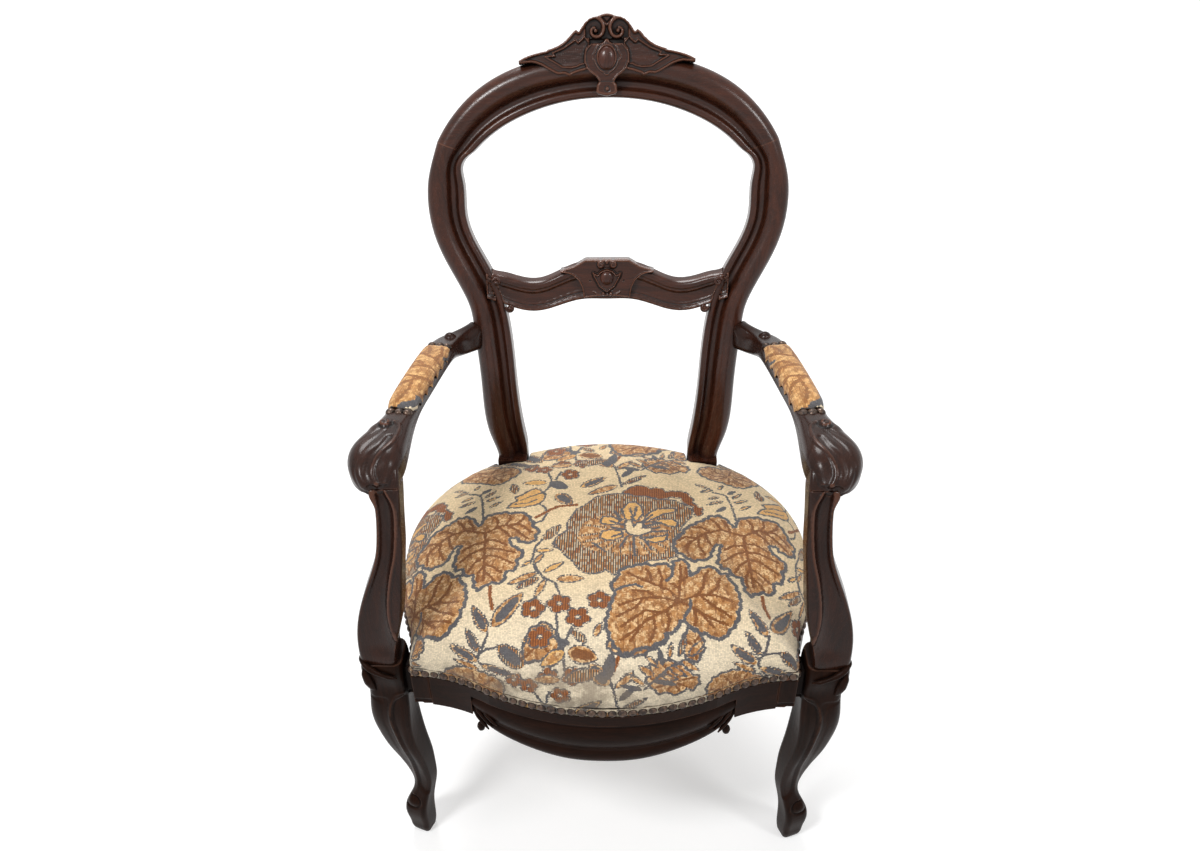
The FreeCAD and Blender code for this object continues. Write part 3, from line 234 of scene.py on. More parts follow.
def woodMaterial(name, stretch, w, streaks=0.62, wear=0.8, waxAndShade=0.85, coat=0.03):
    material, tree, shader = newMaterial(name)
    place = tree.nodes.new("ShaderNodeTexCoord")
    mapped = addNode(tree, "ShaderNodeMapping", {"Vector": place.outputs["Object"], "Scale": stretch})
    figure = useGroup(tree, woodFigure, {
        "Place": mapped.outputs[0], "Dark": w["dark"], "Light": w["light"], "Streaks": streaks,
    })
    wearAndPaintedLight = useGroup(tree, edgeWear, {"Radius": w["rubbed"], "Amount": wear})["Mask"]
    narrow, wide = w["waxAndShadeReach"]
    # painted shade with old wax: darker where ambient occlusion finds a corner, at a narrow and a wide reach
    fineWaxAndShade = useGroup(tree, cornerDirtAndShade, {"Reach": narrow, "Amount": waxAndShade})["Mask"]
    broadWaxAndShade = useGroup(tree, cornerDirtAndShade, {"Reach": wide, "Amount": waxAndShade * 0.7})["Mask"]
    # beads and edges of the carved pieces are rubbed pale and carry a painted highlight, and their grooves
    # hold old wax and painted shade
    relief = addNode(tree, "ShaderNodeAttribute", attribute_name="relief").outputs["Fac"]
    # painted highlight with wear: beads that stand out of the smoothed surface are paled
    beadWearAndHighlight = mathNode(tree, "MULTIPLY", ranged(tree, relief, 0.2, 0.8), 0.55 * wear)
    wearAndPaintedLight = mathNode(tree, "MAXIMUM", wearAndPaintedLight, beadWearAndHighlight)
    # painted shade with old wax in the grooves: darker where the surface sinks below its smoothed level
    groove = ranged(tree, relief, -0.5, -0.08, 1.0, 0.0)
    waxedAndShaded = mathNode(tree, "MAXIMUM", fineWaxAndShade, broadWaxAndShade)
    waxedAndShaded = mathNode(tree, "MAXIMUM", waxedAndShaded, mathNode(tree, "MULTIPLY", groove, waxAndShade))
    colour = mixColour(tree, wearAndPaintedLight, figure["Color"], w["wearAndPaintedLight"])
    colour = mixColour(tree, waxedAndShaded, colour, w["waxAndShade"])
    tree.links.new(colour, shader.inputs["Base Color"])
    rough = mathNode(tree, "ADD", figure["Roughness"], w["roughness"] - 0.08)
    rough = mathNode(tree, "MULTIPLY_ADD", wearAndPaintedLight, -0.05, rough)
    tree.links.new(mathNode(tree, "MULTIPLY_ADD", waxedAndShaded, 0.25, rough), shader.inputs["Roughness"])
    feeds = {"Strength": w["bump"], "Distance": 0.0006, "Height": figure["Height"]}
    bump = addNode(tree, "ShaderNodeBump", feeds)
    tree.links.new(bump.outputs[0], shader.inputs["Normal"])
    shader.inputs["Specular IOR Level"].default_value = w["shine"]
    shader.inputs["Coat Weight"].default_value = coat
    shader.inputs["Coat Roughness"].default_value = 0.22
    return material


walnutUpright = woodMaterial("walnutUpright", (48, 48, 5), walnut)
walnutAcross = woodMaterial("walnutAcross", (5, 48, 48), walnut)
armWalnut = {**walnut, "dark": rgb(30, 14, 8), "light": rgb(60, 31, 20), "shine": 0.2}
armUpright = woodMaterial("armUpright", (48, 48, 5), armWalnut)
armDeep = woodMaterial("armDeep", (48, 5, 48), armWalnut)
# the lower parts are darker and have lost their polish
legWalnut = {**walnut, "dark": rgb(22, 11, 6), "light": rgb(48, 26, 17), "wearAndPaintedLight": rgb(90, 58, 42),
             "shine": 0.05, "roughness": 0.34}
legUpright = woodMaterial("legUpright", (48, 48, 5), legWalnut, coat=0.0)
legAcross = woodMaterial("legAcross", (5, 48, 48), legWalnut, coat=0.0)
legDeep = woodMaterial("legDeep", (48, 5, 48), legWalnut, coat=0.0)
cabochonWood = {**walnut, "dark": rgb(44, 20, 13), "light": rgb(96, 50, 34), "wearAndPaintedLight": rgb(150, 94, 68),
                "roughness": 0.24}
cabochonRed = woodMaterial("cabochonRed", (40, 40, 8), cabochonWood, wear=0.4, waxAndShade=0.5)
plainWood = {**walnut, "dark": rgb(150, 112, 72), "light": rgb(198, 160, 112), "wearAndPaintedLight": rgb(208, 172, 126),
             "waxAndShade": rgb(74, 54, 36), "roughness": 0.6}
beechUpright = woodMaterial("beechUpright", (40, 40, 4), plainWood, coat=0.0)
beechAcross = woodMaterial("beechAcross", (4, 40, 40), plainWood, coat=0.0)
print("wood materials ready")


# metals
def makeTarnish():
    group, take, give = newGroup("tarnish", {"Bright": "colour", "Dull": "colour", "Scale": "number"},
                                 {"Color": "colour", "Roughness": "number", "Height": "number"})
    place = group.nodes.new("ShaderNodeTexCoord")
    spots = noiseNode(group, place.outputs["Object"], take["Scale"], 5.0, 0.6)
    grit = noiseNode(group, place.outputs["Object"], 900.0, 2.0)
    dull = ranged(group, spots.outputs[0], 0.40, 0.62)
    group.links.new(mixColour(group, dull, take["Bright"], take["Dull"]), give["Color"])
    group.links.new(mathNode(group, "MULTIPLY_ADD", dull, 0.28, 0.30), give["Roughness"])
    group.links.new(grit.outputs[0], give["Height"])
    return group


tarnish = makeTarnish()


def metalMaterial(name, bright, dull, scale, metallic=1.0):
    material, tree, shader = newMaterial(name)
    skin = useGroup(tree, tarnish, {"Bright": bright, "Dull": dull, "Scale": scale})
    # painted shade: nearly black where ambient occlusion finds a corner
    wearAndPaintedLight = useGroup(tree, cornerDirtAndShade, {"Reach": 0.004, "Amount": 0.8})["Mask"]
    tree.links.new(mixColour(tree, wearAndPaintedLight, skin["Color"], (0.012, 0.008, 0.006, 1.0)),
                   shader.inputs["Base Color"])
    tree.links.new(skin["Roughness"], shader.inputs["Roughness"])
    bump = addNode(tree, "ShaderNodeBump", {"Strength": 0.12, "Distance": 0.0003, "Height": skin["Height"]})
    tree.links.new(bump.outputs[0], shader.inputs["Normal"])
    shader.inputs["Metallic"].default_value = metallic
    return material


nailBronze = metalMaterial("nailBronze", rgb(88, 68, 55), rgb(42, 32, 28), 160.0, 0.45)
springSteel = metalMaterial("springSteel", rgb(150, 146, 140), rgb(84, 66, 54), 60.0)
screwSteel = metalMaterial("screwSteel", rgb(128, 124, 118), rgb(66, 54, 46), 120.0)
tackSteel = metalMaterial("tackSteel", rgb(90, 88, 92), rgb(48, 40, 38), 200.0)

nodeFinish = {
    "crest_rail": walnutAcross, "crest_carving": walnutAcross, "crest_scrolls": walnutUpright,
    "crest_cabochon": cabochonRed, "crest_dowels": beechUpright, "left_stile": walnutUpright,
    "right_stile": walnutUpright, "cross_rail": walnutAcross, "cross_rail_plate": walnutAcross,
    "cross_rail_cabochon": cabochonRed, "cross_rail_dowels": beechAcross, "left_arm": armDeep,
    "right_arm": armDeep, "left_arm_support": armUpright, "right_arm_support": armUpright,
    "left_arm_button": armUpright, "right_arm_button": armUpright, "arm_screws": screwSteel,
    "hand_dowels": beechUpright, "support_dowels": beechUpright, "left_front_leg": legUpright,
    "right_front_leg": legUpright, "front_rail": legAcross, "left_side_rail": legDeep,
    "right_side_rail": legDeep, "back_rail": legAcross, "seat_rail_dowels": beechAcross,
    "corner_blocks": beechAcross, "corner_block_screws": screwSteel, "webbing_batten": beechAcross,
    "webbing_tacks": tackSteel, "seat_springs": springSteel, "seat_nails_front": nailBronze,
    "seat_nails_back": nailBronze, "seat_nails_left": nailBronze, "seat_nails_right": nailBronze,
    "left_arm_pad_nails": nailBronze, "right_arm_pad_nails": nailBronze,
}
for nodeName, finish in nodeFinish.items():
    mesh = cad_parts[nodeName].data
    mesh.materials.clear()
    mesh.materials.append(finish)
print("finishes on", len(nodeFinish), "nodes")


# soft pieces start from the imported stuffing, remeshed evenly and then swelled as cloth
def adoptMesh(name, mesh, finish):
    piece = bpy.data.objects.new(name, mesh)
    bpy.context.collection.objects.link(piece)
    mesh.materials.clear()
    mesh.materials.append(finish)
    mesh.shade_smooth()
    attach(piece, "root")
    return piece


def coordsOf(mesh):
    values = np.empty(len(mesh.vertices) * 3)
    mesh.vertices.foreach_get("co", values)
    return values.reshape(-1, 3)


def normalsOf(mesh):
    values = np.empty(len(mesh.vertices) * 3)
    mesh.vertex_normals.foreach_get("vector", values)
    return values.reshape(-1, 3)


def bakeModifiers(piece):
    # the mesh as the live modifiers give it, with the modifiers taken off
    graph = bpy.context.evaluated_depsgraph_get()
    mesh = bpy.data.meshes.new_from_object(piece.evaluated_get(graph))
    piece.modifiers.clear()
    old = piece.data
    piece.data = mesh
    bpy.data.meshes.remove(old)
    return mesh


def remeshed(name, node, voxel, finish):
    piece = adoptMesh(name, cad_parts[node].data.copy(), finish)
    remesh = piece.modifiers.new("remesh", "REMESH")
    remesh.mode = "VOXEL"
    remesh.voxel_size = voxel
    bakeModifiers(piece)
    return piece


def smoothStep(value, low, high):
    # from 0 at low to 1 at high: three squares less two cubes of the share
    share = np.clip((value - low) / (high - low), 0, 1)
    return share * share * (3 - 2 * share)


def ridge(distance, halfWidth):
    # half-round bead: 1 on the line, 0 from the half width on
    return np.sqrt(np.maximum(0, 1 - (distance / halfWidth) ** 2))


def bead(distance, form):
    # a raised line, or a groove where its height is below 0
    height, halfWidth = form
    return height * ridge(distance, halfWidth)


def swell(piece, held, limit, s):
    # cloth under inside pressure; no point goes further than its own limit
    mesh = piece.data
    start = coordsOf(mesh)
    pins = piece.vertex_groups.new(name="held")
    pins.add(np.flatnonzero(held).tolist(), 1.0, "REPLACE")
    cloth = piece.modifiers.new("cloth", "CLOTH")
    cloth.settings.use_pressure = True
    cloth.settings.uniform_pressure_force = s["pressure"]
    cloth.settings.effector_weights.gravity = 0
    cloth.settings.vertex_group_mass = "held"
    cloth.point_cache.frame_start, cloth.point_cache.frame_end = 1, s["frames"]
    for step in range(1, s["frames"] + 1):
        bpy.context.scene.frame_set(step)
    graph = bpy.context.evaluated_depsgraph_get()
    moved = coordsOf(piece.evaluated_get(graph).data)
    piece.modifiers.clear()
    piece.vertex_groups.clear()
    bpy.context.scene.frame_set(1)
    shift = moved - start
    far = np.linalg.norm(shift, axis=1)
    # each move is shortened to its limit
    shift *= np.minimum(1, limit / np.maximum(far, 1e-9))[:, None]
    mesh.vertices.foreach_set("co", (start + shift).ravel())
    mesh.update()


def divided(piece):
    subdivision = piece.modifiers.new("subdivision", "SUBSURF")
    subdivision.levels = subdivision.render_levels = 1
    return bakeModifiers(piece)


def islandsOf(mesh):
    # touching corners share a number, every number takes the lowest in its connected piece, and the means
    # of the pieces are their centres; gives these, and which piece each vertex is in
    spots, number = np.unique(np.round(coordsOf(mesh), 6), axis=0, return_inverse=True)
    number = number.ravel()
    ends = np.empty(len(mesh.edges) * 2, int)
    mesh.edges.foreach_get("vertices", ends)
    first, second = number[ends].reshape(-1, 2).T
    label = np.arange(len(spots))
    while True:
        low = np.minimum(label[first], label[second])
        was = label.copy()
        np.minimum.at(label, first, low)
        np.minimum.at(label, second, low)
        label = label[label]
        if (was == label).all():
            break
    place = np.unique(label, return_inverse=True)[1].ravel()
    total = np.column_stack([np.bincount(place, spots[:, axis]) for axis in range(3)])
    return total / np.bincount(place)[:, None], place[number]


def markRelief(mesh, rounds, ahead=None):
    # how far each vertex stands out from the smoothed surface, in millimetres: positive on beads and edges;
    # where ahead is given, only on what faces that way
    places = coordsOf(mesh)
    ends = np.empty(len(mesh.edges) * 2, int)
    mesh.edges.foreach_get("vertices", ends)
    first, second = ends.reshape(-1, 2).T
    both, other = np.concatenate([first, second]), np.concatenate([second, first])
    count = np.maximum(np.bincount(both, minlength=len(places)), 1)[:, None]
    smooth = places
    for again in range(rounds):  # each round goes half way to the mean of the neighbours
        total = [np.bincount(both, smooth[other, axis], len(places)) for axis in range(3)]
        smooth = 0.5 * smooth + 0.5 * np.column_stack(total) / count
    normals = normalsOf(mesh)
    out = ((places - smooth) * normals).sum(1) * 1000
    if ahead is not None:
        out = out * smoothStep(normals @ np.array(ahead), 0.1, 0.5)
    mesh.attributes.new("relief", "FLOAT", "POINT").data.foreach_set("value", out)


# tapestry: motifs in millimetres on the seat seen from above, repeated across and forward
tapestryMotifs = {
    "repeat": (346, 396),
    "trefoil": [
        (-208, -29), (-203, -24), (-192, -22), (-184, -26), (-178, -34), (-173, -44), (-168, -38),
        (-166, -28), (-158, -22), (-147, -19), (-137, -17), (-128, -20), (-118, -18), (-109, -22),
        (-104, -29), (-99, -40), (-96, -51), (-88, -58), (-92, -69), (-93, -80), (-103, -83), (-114, -80),
        (-119, -72), (-126, -73), (-127, -82), (-119, -91), (-109, -98), (-107, -107), (-114, -118),
        (-113, -129), (-118, -137), (-128, -139), (-127, -149), (-132, -160), (-143, -159), (-152, -162),
        (-161, -171), (-167, -162), (-168, -151), (-171, -141), (-181, -140), (-185, -129), (-194, -128),
        (-199, -118), (-197, -106), (-195, -93), (-193, -84), (-198, -82), (-203, -91), (-206, -102),
        (-211, -112), (-221, -114), (-229, -117), (-237, -113), (-243, -106), (-252, -99), (-255, -89),
        (-254, -78), (-247, -69), (-242, -60), (-237, -50), (-229, -44), (-221, -38)],
    "trefoilVeins": [
        [(-161, -61), (-190, -52), (-215, -62), (-240, -88)], [(-161, -61), (-140, -46), (-115, -45),
        (-98, -62)],
        [(-161, -61), (-160, -90), (-157, -120), (-155, -152)], [(-190, -52), (-196, -38), (-203, -31)],
        [(-205, -57), (-217, -48), (-228, -49)], [(-212, -60), (-209, -76), (-203, -88)],
        [(-222, -68), (-222, -86), (-214, -104)], [(-232, -78), (-238, -92), (-236, -108)],
        [(-225, -72), (-238, -68), (-248, -76)], [(-178, -56), (-181, -42), (-188, -31)],
        [(-148, -52), (-146, -38), (-152, -27)], [(-136, -45), (-130, -34), (-131, -24)],
        [(-122, -44), (-113, -34), (-111, -26)], [(-134, -46), (-120, -56), (-104, -74)],
        [(-145, -50), (-132, -62), (-127, -70)], [(-160, -80), (-175, -82), (-188, -92)],
        [(-160, -92), (-174, -98), (-190, -114)], [(-158, -108), (-170, -118), (-178, -134)],
        [(-157, -124), (-164, -138), (-163, -154)], [(-160, -76), (-147, -76), (-130, -86)],
        [(-159, -92), (-143, -93), (-118, -102)], [(-158, -106), (-143, -108), (-120, -122)],
        [(-157, -122), (-146, -128), (-132, -140)], [(-156, -136), (-148, -144), (-141, -154)]],
    "rosette": [
        (9, -168), (10, -158), (17, -150), (20, -137), (29, -131), (42, -127), (53, -124), (64, -127),
        (73, -123), (82, -124), (88, -132), (89, -119), (98, -114), (106, -117), (109, -126), (109, -139),
        (111, -143), (118, -139), (122, -131), (133, -126), (143, -128), (148, -137), (159, -138),
        (160, -149), (167, -154), (169, -166), (172, -177), (171, -194), (168, -203), (166, -214),
        (158, -224), (149, -236), (138, -239), (127, -233), (120, -234), (111, -227), (102, -223),
        (100, -217), (96, -221), (89, -234), (82, -239), (76, -241), (76, -250), (67, -254), (58, -261),
        (47, -261), (38, -266), (24, -271), (16, -263), (9, -252), (7, -243), (3, -230), (4, -221),
        (6, -212), (8, -199), (11, -190), (14, -174)],
    "rosetteRims": [
        [(14, -174), (24, -166), (40, -162), (48, -166)], [(88, -132), (87, -146), (80, -154)],
        [(109, -186), (108, -199), (100, -214)]],
    "rosetteVeins": [
        [(94, -190), (84, -172), (62, -160), (44, -150)], [(94, -190), (70, -184), (46, -186), (20, -198)],
        [(94, -190), (78, -204), (52, -222), (34, -252)], [(94, -190), (118, -178), (140, -178), (162, -186)],
        [(94, -190), (96, -166), (98, -142), (98, -124)], [(96, -190), (118, -202), (136, -222)],
        [(60, -160), (60, -146), (54, -134)], [(72, -166), (74, -150), (70, -134)], [(50, -154), (38, -146),
        (30, -140)],
        [(66, -184), (56, -174), (36, -172)], [(50, -186), (40, -202), (18, -216)], [(70, -208), (52, -206),
        (22, -232)],
        [(62, -214), (64, -232), (58, -252)], [(48, -228), (38, -238), (22, -252)], [(78, -204), (82, -218),
        (78, -236)],
        [(118, -179), (126, -164), (128, -146), (134, -134)], [(132, -178), (144, -162), (148, -146)],
        [(122, -180), (140, -196), (158, -208)], [(112, -199), (116, -212), (112, -224)], [(124, -206),
        (142, -214), (154, -218)],
        [(97, -170), (88, -160), (84, -160)], [(98, -156), (106, -146), (106, -130)]],
    "flower": [
        (-13, 16), (0, 20), (16, 23), (31, 22), (40, 17), (53, 18), (71, 10), (84, 11), (98, 8), (109, 0),
        (120, -13), (116, -29), (104, -47), (98, -64), (91, -78), (91, -96), (96, -109), (76, -116),
        (58, -118), (40, -129), (24, -133), (13, -147), (2, -136), (-2, -140), (-13, -144), (-27, -142),
        (-36, -131), (-42, -120), (-53, -107), (-63, -93), (-68, -82), (-63, -69), (-51, -58), (-52, -44),
        (-47, -29), (-40, -13), (-29, -4), (-20, 7)],
    "flowerHeart": [
        (-38, -70), (-34, -84), (-24, -96), (-8, -102), (6, -99), (18, -108), (34, -106), (44, -110),
        (60, -104), (74, -106), (84, -94), (86, -76), (92, -60), (84, -40), (60, -30), (30, -24), (4, -24),
        (-18, -30), (-32, -46)],
    "frill": [
        (22, 22), (29, 33), (40, 42), (53, 42), (62, 36), (76, 38), (84, 29), (98, 31), (111, 29), (120, 16),
        (122, 2), (133, -7), (133, -18), (127, -27), (120, -18), (120, -4), (109, 2), (102, 16), (89, 16),
        (76, 9), (62, 16), (44, 16), (33, 21)],
    "goldParts": [
        [(23, -13), (31, 2), (41, 4), (49, -7), (51, -22), (44, -36), (33, -40), (26, -33)],
        [(51, -38), (58, -22), (71, -11), (96, -9), (96, -16), (80, -22), (64, -33), (56, -40)],
        [(62, -40), (76, -33), (91, -33), (98, -40), (96, -49), (84, -47), (76, -42)],
        [(47, -73), (58, -71), (76, -69), (84, -64), (80, -78), (67, -82), (53, -78)],
        [(-7, -73), (-4, -60), (9, -56), (22, -60), (24, -71), (13, -78), (2, -78)],
        [(-7, -42), (-4, -29), (9, -29), (20, -36), (18, -44), (4, -47)]],
    "heart": [
        (27, -44), (30, -36), (34, -36), (38, -51), (44, -42), (51, -42), (49, -53), (62, -53), (62, -58),
        (53, -64), (44, -68), (33, -66), (28, -58)],
    "flowerLines": [
        [(51, -40), (64, -24)], [(53, -49), (76, -40)], [(58, -56), (73, -51)], [(47, -71), (62, -73)],
        [(24, -47), (7, -38)], [(24, -56), (9, -51)], [(24, -64), (9, -71)], [(38, -71), (40, -109)],
        [(0, -100), (-16, -84)], [(33, -10), (36, -24)], [(42, -8), (40, -26)], [(36, -28), (40, -38)],
        [(60, -60), (84, -58)], [(30, -70), (20, -92)], [(52, -76), (62, -96)], [(22, -36), (12, -16)]],
    "browns": [
        [(52, 100), (58, 118), (70, 124), (85, 122), (98, 118), (108, 108), (118, 104), (120, 92), (114, 82),
         (104, 84), (98, 76), (88, 73), (80, 78), (72, 74), (62, 82), (56, 90)],
        [(-215, 84), (-210, 100), (-198, 110), (-182, 116), (-164, 114), (-148, 106), (-132, 98), (-124, 86),
         (-128, 74), (-138, 64), (-146, 54), (-160, 50), (-172, 54), (-184, 60), (-196, 64), (-208, 72)],
        [(4, 134), (10, 150), (8, 168), (20, 184), (44, 188), (68, 180), (80, 164), (78, 146), (64, 136),
        (46, 126),
         (28, 124), (16, 126)],
        [(96, 150), (104, 166), (120, 164), (124, 144), (114, 124), (100, 128)],
        [(-100, 120), (-96, 140), (-90, 162), (-72, 172), (-58, 158), (-52, 138), (-60, 124), (-80, 120)]],
    "goldLeaves": [
        [(-137, -8), (-132, 2), (-124, 8), (-128, 16), (-118, 22), (-110, 30), (-100, 37), (-92, 34),
        (-90, 26),
         (-84, 22), (-86, 8), (-92, 0), (-100, -4), (-112, -7), (-125, -9)]],
    "goldLines": [[(-120, 8), (-105, 18), (-88, 26)], [(-126, 0), (-110, 2), (-96, 10)]],
    "stems": [
        [(-92, -120), (-90, -134), (-83, -143), (-79, -149), (-62, -160), (-56, -177)], [(-58, -215),
        (-55, -244), (-48, -263)],
        [(-38, -234), (-45, -253), (-48, -265)], [(-64, -241), (-52, -256), (-48, -265), (-60, -275)],
        [(-48, -265), (-45, -287)], [(-142, -232), (-148, -253), (-155, -268), (-151, -277)],
        [(-155, -263), (-145, -255), (-131, -253)], [(-84, 74), (-78, 57), (-81, 38), (-89, 24)],
        [(-66, 76), (-72, 57)], [(9, 98), (17, 67), (22, 38)], [(-92, 0), (-84, -8), (-80, -22), (-86, -38),
        (-94, -42)],
        [(-82, -75), (-92, -92), (-94, -115), (-88, -132), (-83, -142)], [(-168, -29), (-172, 4),
        (-178, 27), (-196, 32)],
        [(51, -315), (67, -294), (79, -282), (102, -270)]],
    "sticks": [
        [(-145, -165), (-144, -182), (-139, -201)], [(22, 131), (16, 112), (9, 100)], [(-40, -3), (-67, -7),
        (-80, -18), (-95, -30)]],
    "florets": [
        (-88, -203, 5.7), (-55, -196, 5.7), (-31, -218, 5.7), (-5, -190, 5.7), (-77, -246, 5.7),
        (-109, 95, 4.4), (-91, 86, 4.4), (-65, 100, 4.6), (-36, 99, 4.6), (-52, 70, 4.8)],
    # base, tip, width, body colour, core colour
    "blades": [
        ((-144, -232), (-165, -196), 16, "brown", "slate"),
        ((-138, -225), (-102, -177), 24, "brown", "slate"),
        ((-152, -257), (-171, -225), 12, "brown", "slate"),
        ((-155, -272), (-190, -244), 18, "brown", "slate"),
        ((-95, -282), (-130, -250), 24, "petal", "slate"), ((-155, -284), (-187, -268), 10, "brown", ""),
        ((-152, -277), (-102, -297), 14, "brown", "slate"), ((-86, -141), (-124, -163), 12, "brown", ""),
        ((-75, -153), (-87, -187), 10, "brown", ""), ((-61, -153), (-24, -152), 15, "brown", ""),
        ((-83, -149), (-112, -171), 12, "petal", ""), ((-82, -78), (-60, -46), 16, "petal", ""),
        ((-66, -95), (-60, -70), 12, "petal", ""), ((-78, -141), (-52, -121), 10, "gold", ""),
        ((-92, -100), (-66, -98), 8, "gold", ""), ((-95, -118), (-108, -130), 7, "gold", ""),
        ((-92, -125), (-80, -104), 9, "brown", ""), ((-42, -266), (-5, -276), 24, "brown", "vein"),
        ((-46, -266), (-75, -282), 18, "gold", "brown"), ((-45, -300), (0, -290), 18, "petal", ""),
        ((-50, -300), (-85, -300), 16, "brown", ""), ((5, -300), (12, -268), 14, "slate", ""),
        ((-80, 50), (-54, 36), 18, "slate", ""), ((-84, 50), (-120, 50), 14, "gold", ""),
        ((-128, 24), (-133, 50), 14, "petal", ""), ((-36, 38), (0, 62), 16, "gold", "slate"),
        ((8, 88), (-16, 115), 22, "brown", "slate"), ((16, 83), (38, 108), 12, "brown", ""),
        ((22, 63), (40, 86), 9, "slate", ""), ((24, 45), (57, 68), 10, "petal", ""),
        ((16, 42), (-26, 20), 14, "brown", ""), ((-70, 22), (-46, -2), 22, "brown", "slate"),
        ((-98, 150), (-62, 120), 16, "gold", ""), ((-40, 138), (-56, 145), 8, "slate", ""),
        ((-20, 140), (-40, 160), 12, "petal", ""), ((-10, 148), (-2, 170), 10, "brown", ""),
        ((-196, 38), (-215, 30), 6, "brown", ""), ((-183, 12), (-207, 1), 6, "brown", ""),
        ((-180, -1), (-195, -15), 7, "slate", ""), ((-188, 22), (-204, 14), 6, "gold", ""),
        ((-176, 30), (-163, 40), 6, "slate", ""), ((-170, 20), (-155, 35), 6, "brown", ""),
        ((-168, 10), (-148, 20), 6, "gold", ""), ((-162, -5), (-144, 8), 6, "gold", ""),
        ((-188, 40), (-180, 52), 6, "gold", ""), ((-200, 40), (-222, 50), 6, "brown", ""),
        ((67, -283), (50, -268), 7, "brown", ""), ((72, -280), (68, -260), 6, "slate", ""),
        ((80, -272), (84, -250), 7, "brown", ""), ((92, -268), (101, -238), 8, "petal", ""),
        ((104, -266), (125, -241), 10, "brown", ""), ((95, -272), (118, -283), 10, "brown", ""),
        ((80, -280), (103, -293), 9, "brown", ""), ((62, -293), (43, -282), 10, "brown", ""),
        ((52, -308), (32, -292), 9, "brown", ""), ((48, -315), (22, -308), 8, "slate", ""),
        ((62, -300), (92, -306), 8, "slate", ""), ((70, -291), (93, -298), 8, "brown", "")],
    "layers": [  # in the order of drawing: motif, its form, and each colour with its line width or its inset
        ("stems", "line", [("slate", 3.6)]),
        ("sticks", "line", [("rust", 5.0)]),
        ("blades", "blade", []),
        ("goldLeaves", "plain", [("slate", -1.2), ("gold", 1.2)]),
        ("goldLines", "line", [("slate", 2.4)]),
        ("florets", "floret", []),
        ("browns", "ribbed", [("slate", -1.8), ("brown", 1.2)]),
        ("trefoil", "scalloped", [("slate", -2.2), ("brown", 2.2)]),
        ("trefoilVeins", "line", [("vein", 4.2)]),
        ("frill", "scalloped", [("slate", -1.2), ("rust", 0.6)]),
        ("flower", "plain", [("slate", -1.2), ("petal", 0.8)]),
        ("flowerHeart", "rayed", [("brown", 0)]),
        ("goldParts", "plain", [("slate", -1.6), ("gold", 0.6)]),
        ("flowerLines", "line", [("slate", 3.8)]),
        ("heart", "plain", [("slate", -2.6), ("cream", 0)]),
        ("rosette", "scalloped", [("slate", -2.2), ("brown", 2.2)]),
        ("rosetteVeins", "line", [("vein", 4.2)]),
        ("rosetteRims", "line", [("slate", 4.4)]),
    ],
    "scallop": (2.2, 13.0),  # depth and pitch of the small lobes on the rims
    "rib": (0.2, 0.8, 3.4),  # of a small brown leaf: from and to, as shares of the way out, and the width
    "ray": (0.5, 1.25, 4.2),  # of the flower's heart, likewise
    "rayMiddle": (34.0, -58.0),
    # shares of its size: way out and radius of petals, rim, its width, eye
    "floret": (1.62, 1.15, 1.25, 0.9, 0.5),
    "bladeRim": (0.7, 0.9),  # slate outside a small leaf's edge, and how far its body stays inside
    "fuller": 1.5,  # how much fuller the small leaves are drawn than listed
    "overlap": 0.8,  # a colour tucked this far under its neighbour
    "reach": 9.0,  # how far from a motif its distance is kept
}


def lineDistance(places, corners, closed=False):
    # distance to the nearest stretch, the length run to that place, and whether the place is inside
    starts = np.array(corners, float)
    ends = np.roll(starts, -1, axis=0)
    if not closed:
        starts, ends = starts[:-1], ends[:-1]
    along = ends - starts
    length = np.linalg.norm(along, axis=1)
    toPlace = places[:, None, :] - starts[None]
    share = np.clip((toPlace * along).sum(2) / (length ** 2), 0, 1)
    away = np.linalg.norm(toPlace - share[..., None] * along, axis=2)
    nearest = away.argmin(axis=1)
    rows = np.arange(len(places))
    run = (np.cumsum(length) - length)[nearest] + share[rows, nearest] * length[nearest]
    # a place is inside where a level ray from it crosses the outline an odd number of times
    above = (starts[None, :, 1] > places[:, None, 1]) != (ends[None, :, 1] > places[:, None, 1])
    rise = np.where(np.abs(along[:, 1]) < 1e-9, 1e-9, along[:, 1])
    crossing = starts[None, :, 0] + (places[:, None, 1] - starts[None, :, 1]) * along[:, 0] / rise
    inside = (above & (places[:, None, 0] < crossing)).sum(1) % 2 == 1
    return away[rows, nearest], run, inside


